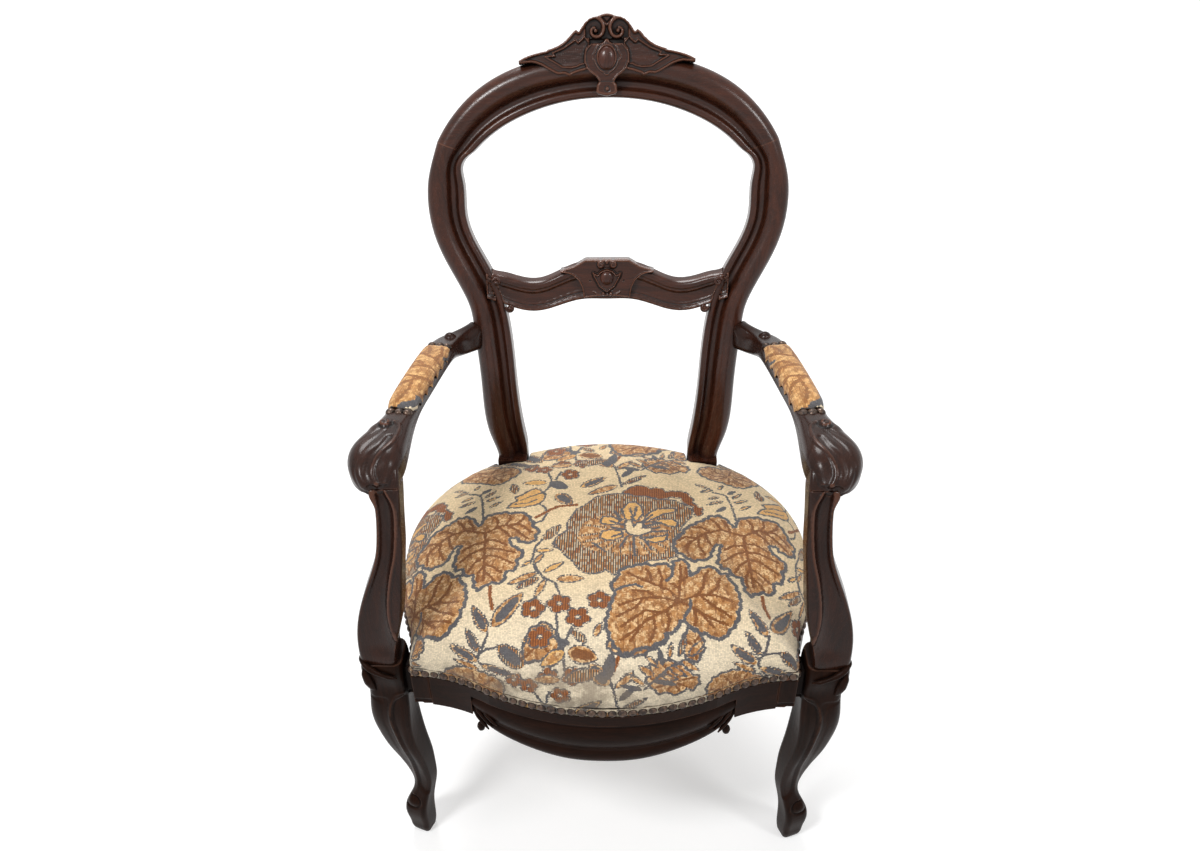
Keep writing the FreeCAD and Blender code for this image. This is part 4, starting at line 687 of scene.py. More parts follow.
def drawCloth(places, m):
    # one signed distance for each colour at each place, negative where that colour lies
    order = ("cream", "gold", "brown", "vein", "petal", "rust", "slate")  # later ones cover earlier ones
    fields = {colour: np.full(len(places), 50.0) for colour in order}

    def paint(colour, chosen, distance):
        own = order.index(colour)
        for index, field in enumerate(fields.values()):
            if index == own:
                field[chosen] = np.minimum(field[chosen], distance)
            elif index > own:
                field[chosen] = np.maximum(field[chosen], -distance - m["overlap"])

    def near(corners, margin=0.0):
        spots = np.array(corners, float)
        low, high = spots.min(0) - m["reach"] - margin, spots.max(0) + m["reach"] + margin
        return np.flatnonzero(((places > low) & (places < high)).all(1))

    def area(corners, colours, scalloped=False):
        chosen = near(corners)
        if not len(chosen):
            return
        away, run, inside = lineDistance(places[chosen], corners, closed=True)
        signed = np.where(inside, -away, away)
        if scalloped:
            signed = signed - m["scallop"][0] * (np.abs(np.sin(np.pi * run / m["scallop"][1])) - 0.5)
        for colour, inset in colours:
            paint(colour, chosen, signed + inset)

    def line(corners, width, colour):
        chosen = near(corners)
        if len(chosen):
            paint(colour, chosen, lineDistance(places[chosen], corners)[0] - width / 2)

    def rays(outline, middle, form, colour):
        inner, outer, width = form
        for spot in outline:
            line([middle + (spot - middle) * inner, middle + (spot - middle) * outer], width, colour)

    def disc(middle, radius, reach, colour):
        chosen = near([middle], reach)
        if len(chosen):
            paint(colour, chosen, np.linalg.norm(places[chosen] - middle, axis=1) - radius)

    def floret(middle, size, turned):
        # five round petals about the middle, a slate rim under them and a pale eye on top
        wayOut, petal, rim, rimWidth, eye = m["floret"]
        angles = np.radians(np.arange(5) * 72 + 18 + turned)
        middles = [middle + wayOut * size * np.array([np.cos(angle), np.sin(angle)]) for angle in angles]
        for spot in middles:
            disc(spot, rim * size + rimWidth, 2 * size, "slate")
        for spot in middles:
            disc(spot, petal * size, 2 * size, "rust")
        disc(middle, eye * size, size, "cream")

    def blade(base, tip, width, body, core):
        chosen = near([base, tip], width / 2)
        if not len(chosen):
            return
        way = tip - base
        length = np.linalg.norm(way)
        way = way / length
        offset = places[chosen] - base
        share = offset @ way / length
        side = np.abs(offset @ np.array([-way[1], way[0]]))
        width = width * m["fuller"]
        # the half width swells from the base and narrows to a point
        half = np.clip(share, 0, 1) ** 0.6 * np.clip(1 - share, 0, 1) ** 0.8 * 1.65
        signed = side - half * width / 2 + np.maximum(np.maximum(-share, share - 1), 0) * length
        rim, inset = m["bladeRim"]
        paint("slate", chosen, signed - rim)
        if body != "slate":
            paint(body, chosen, signed + inset)
        if core:
            ends = np.maximum(np.maximum(0.2 - share, share - 0.8), 0) * length
            paint(core, chosen, side - half * width / 3.6 + ends)

    def drawLayer(key, form, colours, shift):
        if form == "blade":
            for base, tip, width, body, core in m[key]:
                blade(base + shift, tip + shift, width, body, core)
            return
        if form == "floret":
            for x, y, size in m[key]:
                floret(np.array([x, y]) + shift, size, x)
            return
        outlines = m[key] if np.ndim(m[key][0]) == 2 else [m[key]]
        for outline in (np.array(corners, float) + shift for corners in outlines):
            if form == "line":
                line(outline, colours[0][1], colours[0][0])
            else:
                area(outline, colours, form in ("scalloped", "ribbed"))
            if form == "ribbed":
                rays(outline[::2], outline.mean(0), m["rib"], "vein")
            if form == "rayed":
                rays(outline, m["rayMiddle"] + shift, m["ray"], "petal")

    across, forward = m["repeat"]
    for shift in [np.array([i * across, k * forward], float) for k in (-1, 0, 1) for i in (-1, 0, 1)]:
        for key, form, colours in m["layers"]:
            drawLayer(key, form, colours, shift)
    return fields


def dressInCloth(mesh, places, m):
    # the distances and the place on the cloth, kept at each vertex for the shader
    fields = drawCloth(places, m)
    for colour, field in fields.items():
        if colour != "cream":
            mesh.attributes.new("d" + colour.capitalize(), "FLOAT", "POINT").data.foreach_set("value", field)
    flat = np.column_stack([places, np.zeros(len(places))])
    mesh.attributes.new("clothPlace", "FLOAT_VECTOR", "POINT").data.foreach_set("vector", flat.ravel())


tapestryYarn = {
    "cream": rgb(222, 197, 156),
    "creamFaded": rgb(222, 207, 180),  # the front edge, rubbed by sitters
    "brown": rgb(176, 124, 72),
    "brownPale": rgb(216, 180, 132),
    "vein": rgb(124, 74, 34),
    "threadDark": rgb(70, 62, 58),
    "slate": rgb(88, 86, 88),
    "thread": rgb(204, 180, 148),
    "gold": rgb(216, 166, 98),
    "rust": rgb(150, 88, 42),
    "rustDark": rgb(104, 56, 28),
    "soil": rgb(122, 108, 92),
    "rib": 2.1,  # millimetres from rib to rib
    "stitch": 1.6,
    "ragged": 1.5,  # how far a stitch may stray over a motif's edge
    "run": 5.5,  # length of one colour in a petal's stripe
    "bump": 0.55,
    "fadedFrom": (-300.0, -90.0),  # millimetres forward: wholly faded, not faded
    "soiledFrom": (-316.0, -250.0),
    "soiledSide": (-40.0, 130.0),  # millimetres across: fully soiled, hardly
    # the colour of dust and of painted shade in corners
    "dustAndShade": rgb(84, 68, 54),
}


def tapestryMaterial(name, y, soiled):
    material, tree, shader = newMaterial(name)
    place = addNode(tree, "ShaderNodeAttribute", attribute_name="clothPlace")
    split = addNode(tree, "ShaderNodeSeparateXYZ", {0: place.outputs["Vector"]})
    rib = mathNode(tree, "DIVIDE", split.outputs[0], y["rib"])
    ribNumber = mathNode(tree, "FLOOR", rib)
    half = mathNode(tree, "MULTIPLY", mathNode(tree, "FLOORED_MODULO", ribNumber, 2.0), 0.5)
    stitch = mathNode(tree, "ADD", mathNode(tree, "DIVIDE", split.outputs[1], y["stitch"]), half)
    cell = addNode(tree, "ShaderNodeCombineXYZ", {0: ribNumber, 1: mathNode(tree, "FLOOR", stitch)})
    chance = addNode(tree, "ShaderNodeTexWhiteNoise", {"Vector": cell.outputs[0]}, noise_dimensions="2D")
    stray = mathNode(tree, "MULTIPLY", mathNode(tree, "SUBTRACT", chance.outputs["Value"], 0.5), y["ragged"])

    def mask(colour):
        distance = addNode(tree, "ShaderNodeAttribute", attribute_name=colour).outputs["Fac"]
        return ranged(tree, mathNode(tree, "ADD", distance, stray), -0.45, 0.45, 1.0, 0.0)

    # narrow stripes in the petals: a dark thread, then a cream, brown or rust one in short runs
    thread = mathNode(tree, "MULTIPLY", rib, 1.35)
    threadNumber = mathNode(tree, "FLOOR", thread)
    odd = ranged(tree, mathNode(tree, "FLOORED_MODULO", threadNumber, 2.0), 0.4, 0.6)
    runCell = addNode(tree, "ShaderNodeCombineXYZ", {
        0: threadNumber, 1: mathNode(tree, "FLOOR", mathNode(tree, "DIVIDE", split.outputs[1], y["run"]))})
    runNoise = addNode(tree, "ShaderNodeTexWhiteNoise", {"Vector": runCell.outputs[0]}, noise_dimensions="2D")
    runChance = runNoise.outputs["Value"]
    cloud = noiseNode(tree, place.outputs["Vector"], 0.035, 4.0)
    patches = noiseNode(tree, place.outputs["Vector"], 0.11, 3.0)
    pale = mathNode(tree, "MULTIPLY", ranged(tree, patches.outputs[0], 0.42, 0.58),
                    ranged(tree, chance.outputs["Value"], 0.1, 0.6))
    leaf = mixColour(tree, pale, y["brown"], y["brownPale"])
    # darker strokes that run down the leaves, broken from stitch to stitch
    feeds = {"Vector": place.outputs["Vector"], "Scale": (0.17, 0.07, 1.0)}
    drawnOut = addNode(tree, "ShaderNodeMapping", feeds)
    strokes = noiseNode(tree, drawnOut.outputs[0], 1.0, 2.0)
    dark = mathNode(tree, "MULTIPLY", ranged(tree, strokes.outputs[0], 0.52, 0.60),
                    ranged(tree, chance.outputs["Value"], 0.15, 0.5))
    leaf = mixColour(tree, mathNode(tree, "MULTIPLY", dark, 0.9), leaf, y["vein"])
    threadColour = mixColour(tree, ranged(tree, runChance, 0.42, 0.46), y["thread"], y["brown"])
    threadColour = mixColour(tree, ranged(tree, runChance, 0.86, 0.90), threadColour, y["rust"])
    striped = mixColour(tree, odd, threadColour, y["threadDark"])
    rusty = mixColour(tree, mathNode(tree, "MULTIPLY", odd, 0.8), y["rust"], y["rustDark"])
    faded = ranged(tree, split.outputs[1], *y["fadedFrom"], 1.0, 0.0)
    colour = mixColour(tree, faded, y["cream"], y["creamFaded"])
    for field, yarn in (("dGold", y["gold"]), ("dBrown", leaf), ("dVein", y["vein"]), ("dPetal", striped),
                        ("dRust", rusty), ("dSlate", y["slate"])):
        colour = mixColour(tree, mask(field), colour, yarn)
    # each stitch a little lighter or darker, painted shade in the hollows between ribs, then soiling
    bright = ranged(tree, chance.outputs["Value"], 0.0, 1.0, 0.78, 1.14, smooth=False)
    ribShape = mathNode(tree, "ABSOLUTE", mathNode(tree, "SINE", mathNode(tree, "MULTIPLY", rib, np.pi)))
    stitchWave = mathNode(tree, "SINE", mathNode(tree, "MULTIPLY", stitch, np.pi))
    stitchShape = mathNode(tree, "ABSOLUTE", stitchWave)
    weave = mathNode(tree, "MULTIPLY", mathNode(tree, "POWER", ribShape, 0.5),
                     mathNode(tree, "POWER", stitchShape, 0.35))
    shade = mathNode(tree, "MULTIPLY", bright, ranged(tree, weave, 0.0, 0.9, 0.74, 1.04, smooth=False))
    shadeColour = addNode(tree, "ShaderNodeCombineColor", {0: shade, 1: shade, 2: shade})
    colour = mixColour(tree, 1.0, colour, shadeColour.outputs[0], "MULTIPLY")
    front = ranged(tree, split.outputs[1], *y["soiledFrom"], 1.0, 0.0)
    left = ranged(tree, split.outputs[0], *y["soiledSide"], 1.0, 0.25)
    soil = mathNode(tree, "MULTIPLY", front, left)
    soil = mathNode(tree, "MULTIPLY", soil, ranged(tree, cloud.outputs[0], 0.36, 0.6))
    soil = mathNode(tree, "MULTIPLY", soil, soiled)
    grey = mathNode(tree, "MULTIPLY", ranged(tree, cloud.outputs[0], 0.5, 0.75), 0.16)
    colour = mixColour(tree, mathNode(tree, "MAXIMUM", soil, grey), colour, y["soil"])
    # painted shade with dust: darker where ambient occlusion finds a corner
    dustAndShade = useGroup(tree, cornerDirtAndShade, {"Reach": 0.012, "Amount": 0.65})["Mask"]
    colour = mixColour(tree, dustAndShade, colour, y["dustAndShade"])
    tree.links.new(colour, shader.inputs["Base Color"])
    fluff = noiseNode(tree, place.outputs["Vector"], 2.4, 3.0)
    height = mathNode(tree, "MULTIPLY_ADD", fluff.outputs[0], 0.35, weave)
    bump = addNode(tree, "ShaderNodeBump", {"Strength": y["bump"], "Distance": 0.0007, "Height": height})
    tree.links.new(bump.outputs[0], shader.inputs["Normal"])
    shader.inputs["Roughness"].default_value = 0.88
    shader.inputs["Sheen Weight"].default_value = 0.22
    shader.inputs["Sheen Roughness"].default_value = 0.5
    shader.inputs["Specular IOR Level"].default_value = 0.25
    return material


tapestry = tapestryMaterial("tapestry", tapestryYarn, 0.7)
print("tapestry material ready")

# seat: the domed cushion, and under it the strip of cloth that the nails hold
seatPad = {
    "voxel": 0.004,
    "pressure": 4.0,
    "frames": 20,
    "heldBelow": 0.4042,  # the lowest edge stays on the rails
    "cap": (0.0019, 0.0042),  # most that the sides and the crown may move
    "stileBand": (0.405, 0.439),  # heights at which the stile blocks stand in the cushion
    "slotClear": (0.004, 0.014),  # no swelling nearer than this to a block, and how far it fades in
    "turnDown": 432,  # millimetres up, where the cloth turns down at the sides
    # four heights of its lap over the nailed strip, and the lap
    "over": (0.4025, 0.4045, 0.410, 0.428, 0.0024),
}
tapestryNails = ("seat_nails_front", "seat_nails_back", "seat_nails_left", "seat_nails_right")


def blockBox(side, band):
    # the stile's box at the height of the seat
    places = coordsOf(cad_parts[side].data)
    chosen = places[(places[:, 2] > band[0]) & (places[:, 2] < band[1])]
    return chosen.min(0), chosen.max(0)


def flatNormals(normals):
    # the level part of each normal, at full length
    return normals[:, :2] / np.maximum(np.linalg.norm(normals[:, :2], axis=1), 1e-6)[:, None]


def makeSeatPad(s):
    # the pad may swell by a height that grows from its held foot to its crown and fades beside the stiles
    piece = remeshed("seatPad", "seat_stuffing", s["voxel"], tapestry)
    places = coordsOf(piece.data)
    # fade with the distance to each stile block, seen from above
    fade = np.ones(len(places))
    clear, fadeIn = s["slotClear"]
    for side in ("left_stile", "right_stile"):
        low, high = blockBox(side, s["stileBand"])
        outside = np.maximum(np.maximum(low[:2] - places[:, :2], places[:, :2] - high[:2]), 0)
        fade = np.minimum(fade, np.clip((np.linalg.norm(outside, axis=1) - clear) / fadeIn, 0, 1))
    held = (places[:, 2] < s["heldBelow"]) | (fade <= 0)
    above = places[:, 2] - s["heldBelow"] - 0.01
    rise = np.clip(above / above.max(), 0, 1)
    limit = (s["cap"][0] + (s["cap"][1] - s["cap"][0]) * rise) * fade
    limit[held] = 0
    swell(piece, held, limit, s)
    mesh = divided(piece)
    places, normals = coordsOf(mesh), normalsOf(mesh)
    # pushed out by the lap times a step up and a step down over the height, on the sides only
    flat = flatNormals(normals)
    a, b, c, d, far = s["over"]
    lap = far * smoothStep(places[:, 2], a, b) * (1 - smoothStep(places[:, 2], c, d))
    lap = lap * (np.abs(normals[:, 2]) < 0.8)
    places[:, :2] += flat * lap[:, None]
    mesh.vertices.foreach_set("co", places.ravel())
    mesh.update()
    drop = np.maximum(s["turnDown"] - places[:, 2] * 1000, 0)
    dressInCloth(mesh, places[:, :2] * 1000 + flat * drop[:, None], tapestryMotifs)
    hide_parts("seat_cover", "seat_stuffing")
    print("seat pad:", len(mesh.vertices), "vertices")


seatSkirt = {
    "top": 0.4033,
    "rings": (0.3935, 0.396, 0.3985, 0.401),  # heights at which the faces are cut, for the puckers
    "step": 0.0045,
    "pucker": 0.0009,
    "puckerReach": 0.0055,
    "middle": (0, -0.06),  # of the seat, from above
}


def makeSeatSkirt(s):
    work = bmesh.new()
    work.from_mesh(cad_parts["seat_cover"].data)
    bmesh.ops.remove_doubles(work, verts=work.verts, dist=1e-6)
    everything = work.verts[:] + work.edges[:] + work.faces[:]
    bmesh.ops.bisect_plane(work, geom=everything, plane_co=(0, 0, s["top"]), plane_no=(0, 0, 1),
                           clear_outer=True)
    bmesh.ops.triangle_fill(work, edges=[edge for edge in work.edges if edge.is_boundary], use_beauty=True)
    for height in s["rings"]:
        everything = work.verts[:] + work.edges[:] + work.faces[:]
        bmesh.ops.bisect_plane(work, geom=everything, plane_co=(0, 0, height), plane_no=(0, 0, 1))
    for halving in range(3):
        tooLong = [edge for edge in work.edges if edge.calc_length() > s["step"]]
        bmesh.ops.subdivide_edges(work, edges=tooLong, cuts=1)
        bmesh.ops.triangulate(work, faces=work.faces)
    bmesh.ops.recalc_face_normals(work, faces=work.faces)
    mesh = bpy.data.meshes.new("seatSkirt")
    work.to_mesh(mesh)
    work.free()
    piece = adoptMesh("seatSkirt", mesh, tapestry)
    places, normals = coordsOf(mesh), normalsOf(mesh)
    # drawn in round each nail: depth times a bell curve of the distance to the nearest nail
    nails = np.vstack([islandsOf(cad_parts[node].data)[0] for node in tapestryNails])
    away = np.full(len(places), 1.0)
    for nail in nails:
        away = np.minimum(away, np.linalg.norm(places - nail, axis=1))
    outward = ((places[:, :2] - s["middle"]) * normals[:, :2]).sum(1) > 0
    depth = s["pucker"] * np.exp(-(away / s["puckerReach"]) ** 2) * outward * (np.abs(normals[:, 2]) < 0.5)
    places = places - normals * depth[:, None]
    mesh.vertices.foreach_set("co", places.ravel())
    mesh.update()
    flat = np.where(outward[:, None], flatNormals(normals), -flatNormals(normals))
    drop = np.maximum(seatPad["turnDown"] - places[:, 2] * 1000, 0)
    dressInCloth(mesh, places[:, :2] * 1000 + flat * drop[:, None], tapestryMotifs)
    height = s["top"] - places[:, 2].min()
    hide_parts("seat_cover")
    print("seat skirt:", len(mesh.polygons), "faces")


makeSeatPad(seatPad)
makeSeatSkirt(seatSkirt)


# nail heads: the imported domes, a little broader, no two alike
nailHeads = {"broader": 1.2, "uneven": 0.07, "tilt": 0.1, "seed": 7}


def makeNailHeads(node, h):
    work = bmesh.new()
    work.from_mesh(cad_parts[node].data)
    bmesh.ops.remove_doubles(work, verts=work.verts, dist=1e-6)
    mesh = bpy.data.meshes.new(node + "Heads")
    work.to_mesh(mesh)
    work.free()
    centres, owner = islandsOf(mesh)
    # each head is scaled about its centre, and sheared by a small amount that differs from head to head
    chance = np.random.default_rng(h["seed"]).uniform(-1, 1, (len(centres), 4))
    arm = coordsOf(mesh) - centres[owner]
    size = h["broader"] * (1 + h["uneven"] * chance[owner, :1])
    lean = h["tilt"] * (arm[:, [1, 2, 0]] * chance[owner, 1:])
    mesh.vertices.foreach_set("co", (centres[owner] + arm * size + lean).ravel())
    piece = adoptMesh(node + "Heads", mesh, nailBronze)
    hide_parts(node)


for node in tapestryNails + ("left_arm_pad_nails", "right_arm_pad_nails"):
    makeNailHeads(node, nailHeads)
print("nail heads made")


# carved wood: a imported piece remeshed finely, drawn back onto its own surface and then cut
def sculpt(name, node, voxel, cut, finish):
    # cut gives each vertex its new place from its old one and its normal, in millimetres
    piece = remeshed(name, node, voxel, finish)
    wrap = piece.modifiers.new("wrap", "SHRINKWRAP")
    wrap.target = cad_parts[node]
    mesh = bakeModifiers(piece)
    places, normals = coordsOf(mesh) * 1000, normalsOf(mesh)
    mesh.vertices.foreach_set("co", (cut(places, normals) / 1000).ravel())
    mesh.update()
    mesh.shade_smooth()
    markRelief(mesh, 5)
    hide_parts(node)


def edgeLines(along, across, steps):
    # lowest and highest place across for each step along, for bands that follow a curved piece
    low, high = along.min(), along.max()
    slot = np.clip(((along - low) / (high - low) * steps).astype(int), 0, steps - 1)
    lowest, highest = np.full(steps, 1e9), np.full(steps, -1e9)
    np.minimum.at(lowest, slot, across)
    np.maximum.at(highest, slot, across)
    middles = low + (np.arange(steps) + 0.5) * (high - low) / steps
    good = highest > -1e8
    return np.interp(along, middles[good], lowest[good]), np.interp(along, middles[good], highest[good])


def curveThrough(points, perStretch=8):
    # smooth curve through the points: a cubic in each stretch, its slopes set by the neighbours (Catmull-Rom)
    p = np.array(points, float)
    p = np.vstack([2 * p[0] - p[1], p, 2 * p[-1] - p[-2]])
    share = np.arange(perStretch)[:, None] / perStretch
    a, b, c, d = p[:-3, None], p[1:-2, None], p[2:-1, None], p[3:, None]
    square, cube = 2 * a - 5 * b + 4 * c - d, 3 * b - a - 3 * c + d
    curve = 0.5 * (2 * b + (c - a) * share + square * share ** 2 + cube * share ** 3)
    return np.vstack([curve.reshape(-1, p.shape[1]), p[-2]])


def nearestOn(places, corners, closed=False):
    # distance to an outline or line, and the nearest place on it
    starts = np.array(corners, float)
    ends = np.roll(starts, -1, axis=0)
    if not closed:
        starts, ends = starts[:-1], ends[:-1]
    along = ends - starts
    toPlace = places[:, None, :] - starts[None]
    share = np.clip((toPlace * along).sum(2) / np.maximum((along ** 2).sum(1), 1e-9), 0, 1)
    spots = starts[None] + share[..., None] * along
    away = np.linalg.norm(places[:, None, :] - spots, axis=2)
    best = away.argmin(axis=1)
    rows = np.arange(len(places))
    return away[rows, best], spots[rows, best]


def reliefMesh(name, outline, step, heightOf, placeOf, back):
    # a fine grid inside the outline, its rim drawn onto the outline, raised by the height, closed at the back
    outline = np.array(outline, float)
    low, high = outline.min(0) - step, outline.max(0) + step
    counts = np.ceil((high - low) / step).astype(int) + 1
    across, upward = (low[axis] + np.arange(counts[axis]) * step for axis in (0, 1))
    u, v = np.meshgrid(across, upward, indexing="ij")
    spots = np.column_stack([u.ravel(), v.ravel()])
    away, nearest = nearestOn(spots, outline, True)
    inside = lineDistance(spots, outline, True)[2]
    signed = np.where(inside, -away, away)
    spots = np.where((np.abs(signed) < 0.5 * step)[:, None], nearest, spots)
    kept = (signed < 0.5 * step).reshape(counts)
    cells = kept[:-1, :-1] & kept[1:, :-1] & kept[1:, 1:] & kept[:-1, 1:]
    index = np.arange(len(spots)).reshape(counts)
    corners = index[:-1, :-1], index[1:, :-1], index[1:, 1:], index[:-1, 1:]
    quads = np.stack([corner[cells] for corner in corners], axis=1)
    used, renumbered = np.unique(quads, return_inverse=True)
    quads, spots = renumbered.reshape(-1, 4), spots[used]
    edge = np.maximum(-np.where(np.abs(signed[used]) < 0.5 * step, 0, signed[used]), 0)
    top = placeOf(spots, heightOf(spots, edge))
    bottom = placeOf(spots, np.full(len(spots), back))
    # rim edges belong to one cell only
    edges = np.stack([quads, np.roll(quads, -1, axis=1)], axis=2).reshape(-1, 2)
    key = np.sort(edges, axis=1)
    first, count = np.unique(key, axis=0, return_index=True, return_counts=True)[1:]
    rim = edges[first[count == 1]]
    n = len(spots)
    walls = np.stack([rim[:, 1], rim[:, 0], rim[:, 0] + n, rim[:, 1] + n], axis=1)
    faces = np.vstack([quads, quads[:, ::-1] + n, walls])
    mesh = bpy.data.meshes.new(name)
    mesh.from_pydata((np.vstack([top, bottom]) / 1000).tolist(), [], faces.tolist())
    return mesh


def tubeMesh(name, path, radii, across, sides=12):
    # a closed round tube: path plus radius times (cosine times side plus sine times rise), round each point;
    # across is a direction that never runs along the path
    path, radii = np.array(path, float), np.array(radii, float)
    ahead = np.gradient(path, axis=0)
    ahead /= np.linalg.norm(ahead, axis=1)[:, None]
    side = np.cross(ahead, across)
    side /= np.linalg.norm(side, axis=1)[:, None]
    rise = np.cross(side, ahead)
    turn = np.arange(sides) * 2 * np.pi / sides
    rings = (path[:, None] + radii[:, None, None] * (np.cos(turn)[None, :, None] * side[:, None]
                                                    + np.sin(turn)[None, :, None] * rise[:, None]))
    count = len(path)
    index = np.arange(count * sides).reshape(count, sides)
    a, b = index[:-1], np.roll(index, -1, axis=1)[:-1]
    c, d = np.roll(index, -1, axis=1)[1:], index[1:]
    quads = np.stack([a, d, c, b], axis=2).reshape(-1, 4).tolist()
    faces = quads + [index[0].tolist(), index[-1][::-1].tolist()]
    return rings.reshape(-1, 3), faces


def joinedMesh(name, parts):
    # one mesh of all the parts' points, each part's corner numbers counted on from the last
    places, faces, offset = [], [], 0
    for points, polygons in parts:
        places.append(np.array(points) / 1000)
        faces += [[corner + offset for corner in polygon] for polygon in polygons]
        offset += len(points)
    mesh = bpy.data.meshes.new(name)
    mesh.from_pydata(np.vstack(places).tolist(), [], faces)
    return mesh


def turnedOutward(mesh):
    work = bmesh.new()
    work.from_mesh(mesh)
    bmesh.ops.recalc_face_normals(work, faces=work.faces)
    work.to_mesh(mesh)
    work.free()
    return mesh


# crest: carved in the plane of the leaning back, millimetres across and up the slope
leanPlane = {"foot": (0.0, 205.61, 753.0), "angle": np.radians(19)}
leanForward = (0, -np.cos(leanPlane["angle"]), np.sin(leanPlane["angle"]))
crest = {
    # right half of the outline from the top centre, clockwise
    "outline": [
        (0, 269.8), (4, 269.3), (9.8, 267.5), (12.3, 266.2), (17.3, 265.6), (22.3, 263.5), (27.4, 259.4),
        (31.5, 254.1), (34.9, 249.2), (38.2, 252.3), (42.4, 249.3), (47.4, 243.8), (54.1, 238.2),
        (60.8, 234.4), (69.2, 231.3), (74.5, 230.1), (75, 228.6), (82.5, 227.4), (90.9, 225.6),
        (99.3, 223.3), (105.9, 220.7), (111.1, 218), (111, 213.7), (104.2, 214.6), (95.8, 215.4),
        (89.2, 214.3), (82.5, 211.9), (76.7, 208.6), (70.8, 205.4), (65.8, 202.8), (60.8, 201),
        (55.7, 201.7), (52.5, 201.6), (49.1, 199.8), (45.8, 199.1), (43.2, 201.3), (37.4, 203.3),
        (32.3, 204.8), (28.2, 205.5), (24.8, 206.7), (21.4, 204), (18.2, 201.3), (14.3, 199.1),
        (11.5, 195.7), (9.8, 193), (10.6, 191.5), (12.6, 189.5), (13.1, 185), (13.6, 180.4), (10.6, 178.1),
        (5.6, 177), (0, 175.8)],
    "panel": [
        (21.4, 236.2), (28.2, 243.8), (29.8, 241.2), (35.7, 236.7), (39, 240.1), (45.8, 235.9), (54.1, 231),
        (67.5, 226), (65, 222.5), (77.5, 221.9), (69.2, 217.7), (60.8, 213.1), (55.7, 210.1), (44.1, 209.7),
        (37.4, 210.9), (33.2, 213.1), (28.2, 213.9), (27.4, 220.7), (26.5, 229.8)],
    "tail": [(74.5, 227.9), (92.6, 223.8), (110.3, 217)],
    "shield": [
        (19, 236.2), (21.4, 233.6), (25.7, 229.1), (27.7, 223.8), (27.4, 216.2), (24.8, 208.6), (20.7, 203.3),
        (14.3, 199.5), (10.6, 194.9), (9.3, 193)],
    "neck": [(9.3, 192.8), (0, 193.2)],
    # under the scrolls
    "shelf": [(0, 240.4), (7.9, 238.2), (14.8, 234.9), (19, 236.2), (20.8, 242.9), (20.3, 250.5)],
    "oval": (0, 220.7, 14.6, 17.2),  # centre and half sizes of the frame round the cabochon
    "boss": (0.6, 184.3),
    "scroll": (14, 250.3),
    "scrollStart": [(35.6, 250.0), (31.1, 256.2)],  # the band's way into the scroll
    # degrees and radius
    "scrollTurn": [(35, 16.2), (90, 15.6), (180, 9.4), (270, 6.6), (360, 5.4), (430, 3.6)],
    "crease": [(0, 256.8), (5.5, 261.9)],
    "levels": {
        "wing": 19.0, "tip": 17.6, "panel": 16.2, "shield": 21.2, "shelf": 11.0, "cap": 16.0, "scroll": 19.5},
    "beads": {  # height and half width
        "panel": (2.2, 1.4), "edge": (2.0, 1.4), "tail": (1.3, 1.2), "shield": (2.5, 1.6),
        "neck": (-0.9, 0.9), "frame": (2.0, 1.3), "ring": (1.7, 1.5), "boss": (2.2, 2.8),
        "bossRing": (-0.6, 0.8), "eye": (3.4, 2.7), "crease": (1.4, 1.3)},
    "shieldBand": (193.0, 236.3),  # from and to, up the slope
    "shieldBeadBand": (192.6, 239.1),
    "edgeBeadFrom": 201.2,
    "shelfBand": (234.4, 242.9),
    "stipple": (0.5, 2.9, 3.1),  # depth of the wings' small pits, and how close they lie across and up
    "ease": 1.3,  # rounding of the outer edge
    "back": -10.0,
    "step": 0.8,
}


def onSlope(spots, heights, foot, angle):
    # foot plus a way across, a way up the slope and a height out of its face
    s, c = np.sin(angle), np.cos(angle)
    return (np.array(foot) + spots[:, :1] * np.array([1.0, 0, 0]) + spots[:, 1:] * np.array([0, s, c])
            + heights[:, None] * np.array([0, -c, s]))


def onLeanPlane(spots, heights):
    return onSlope(spots, heights, leanPlane["foot"], leanPlane["angle"])


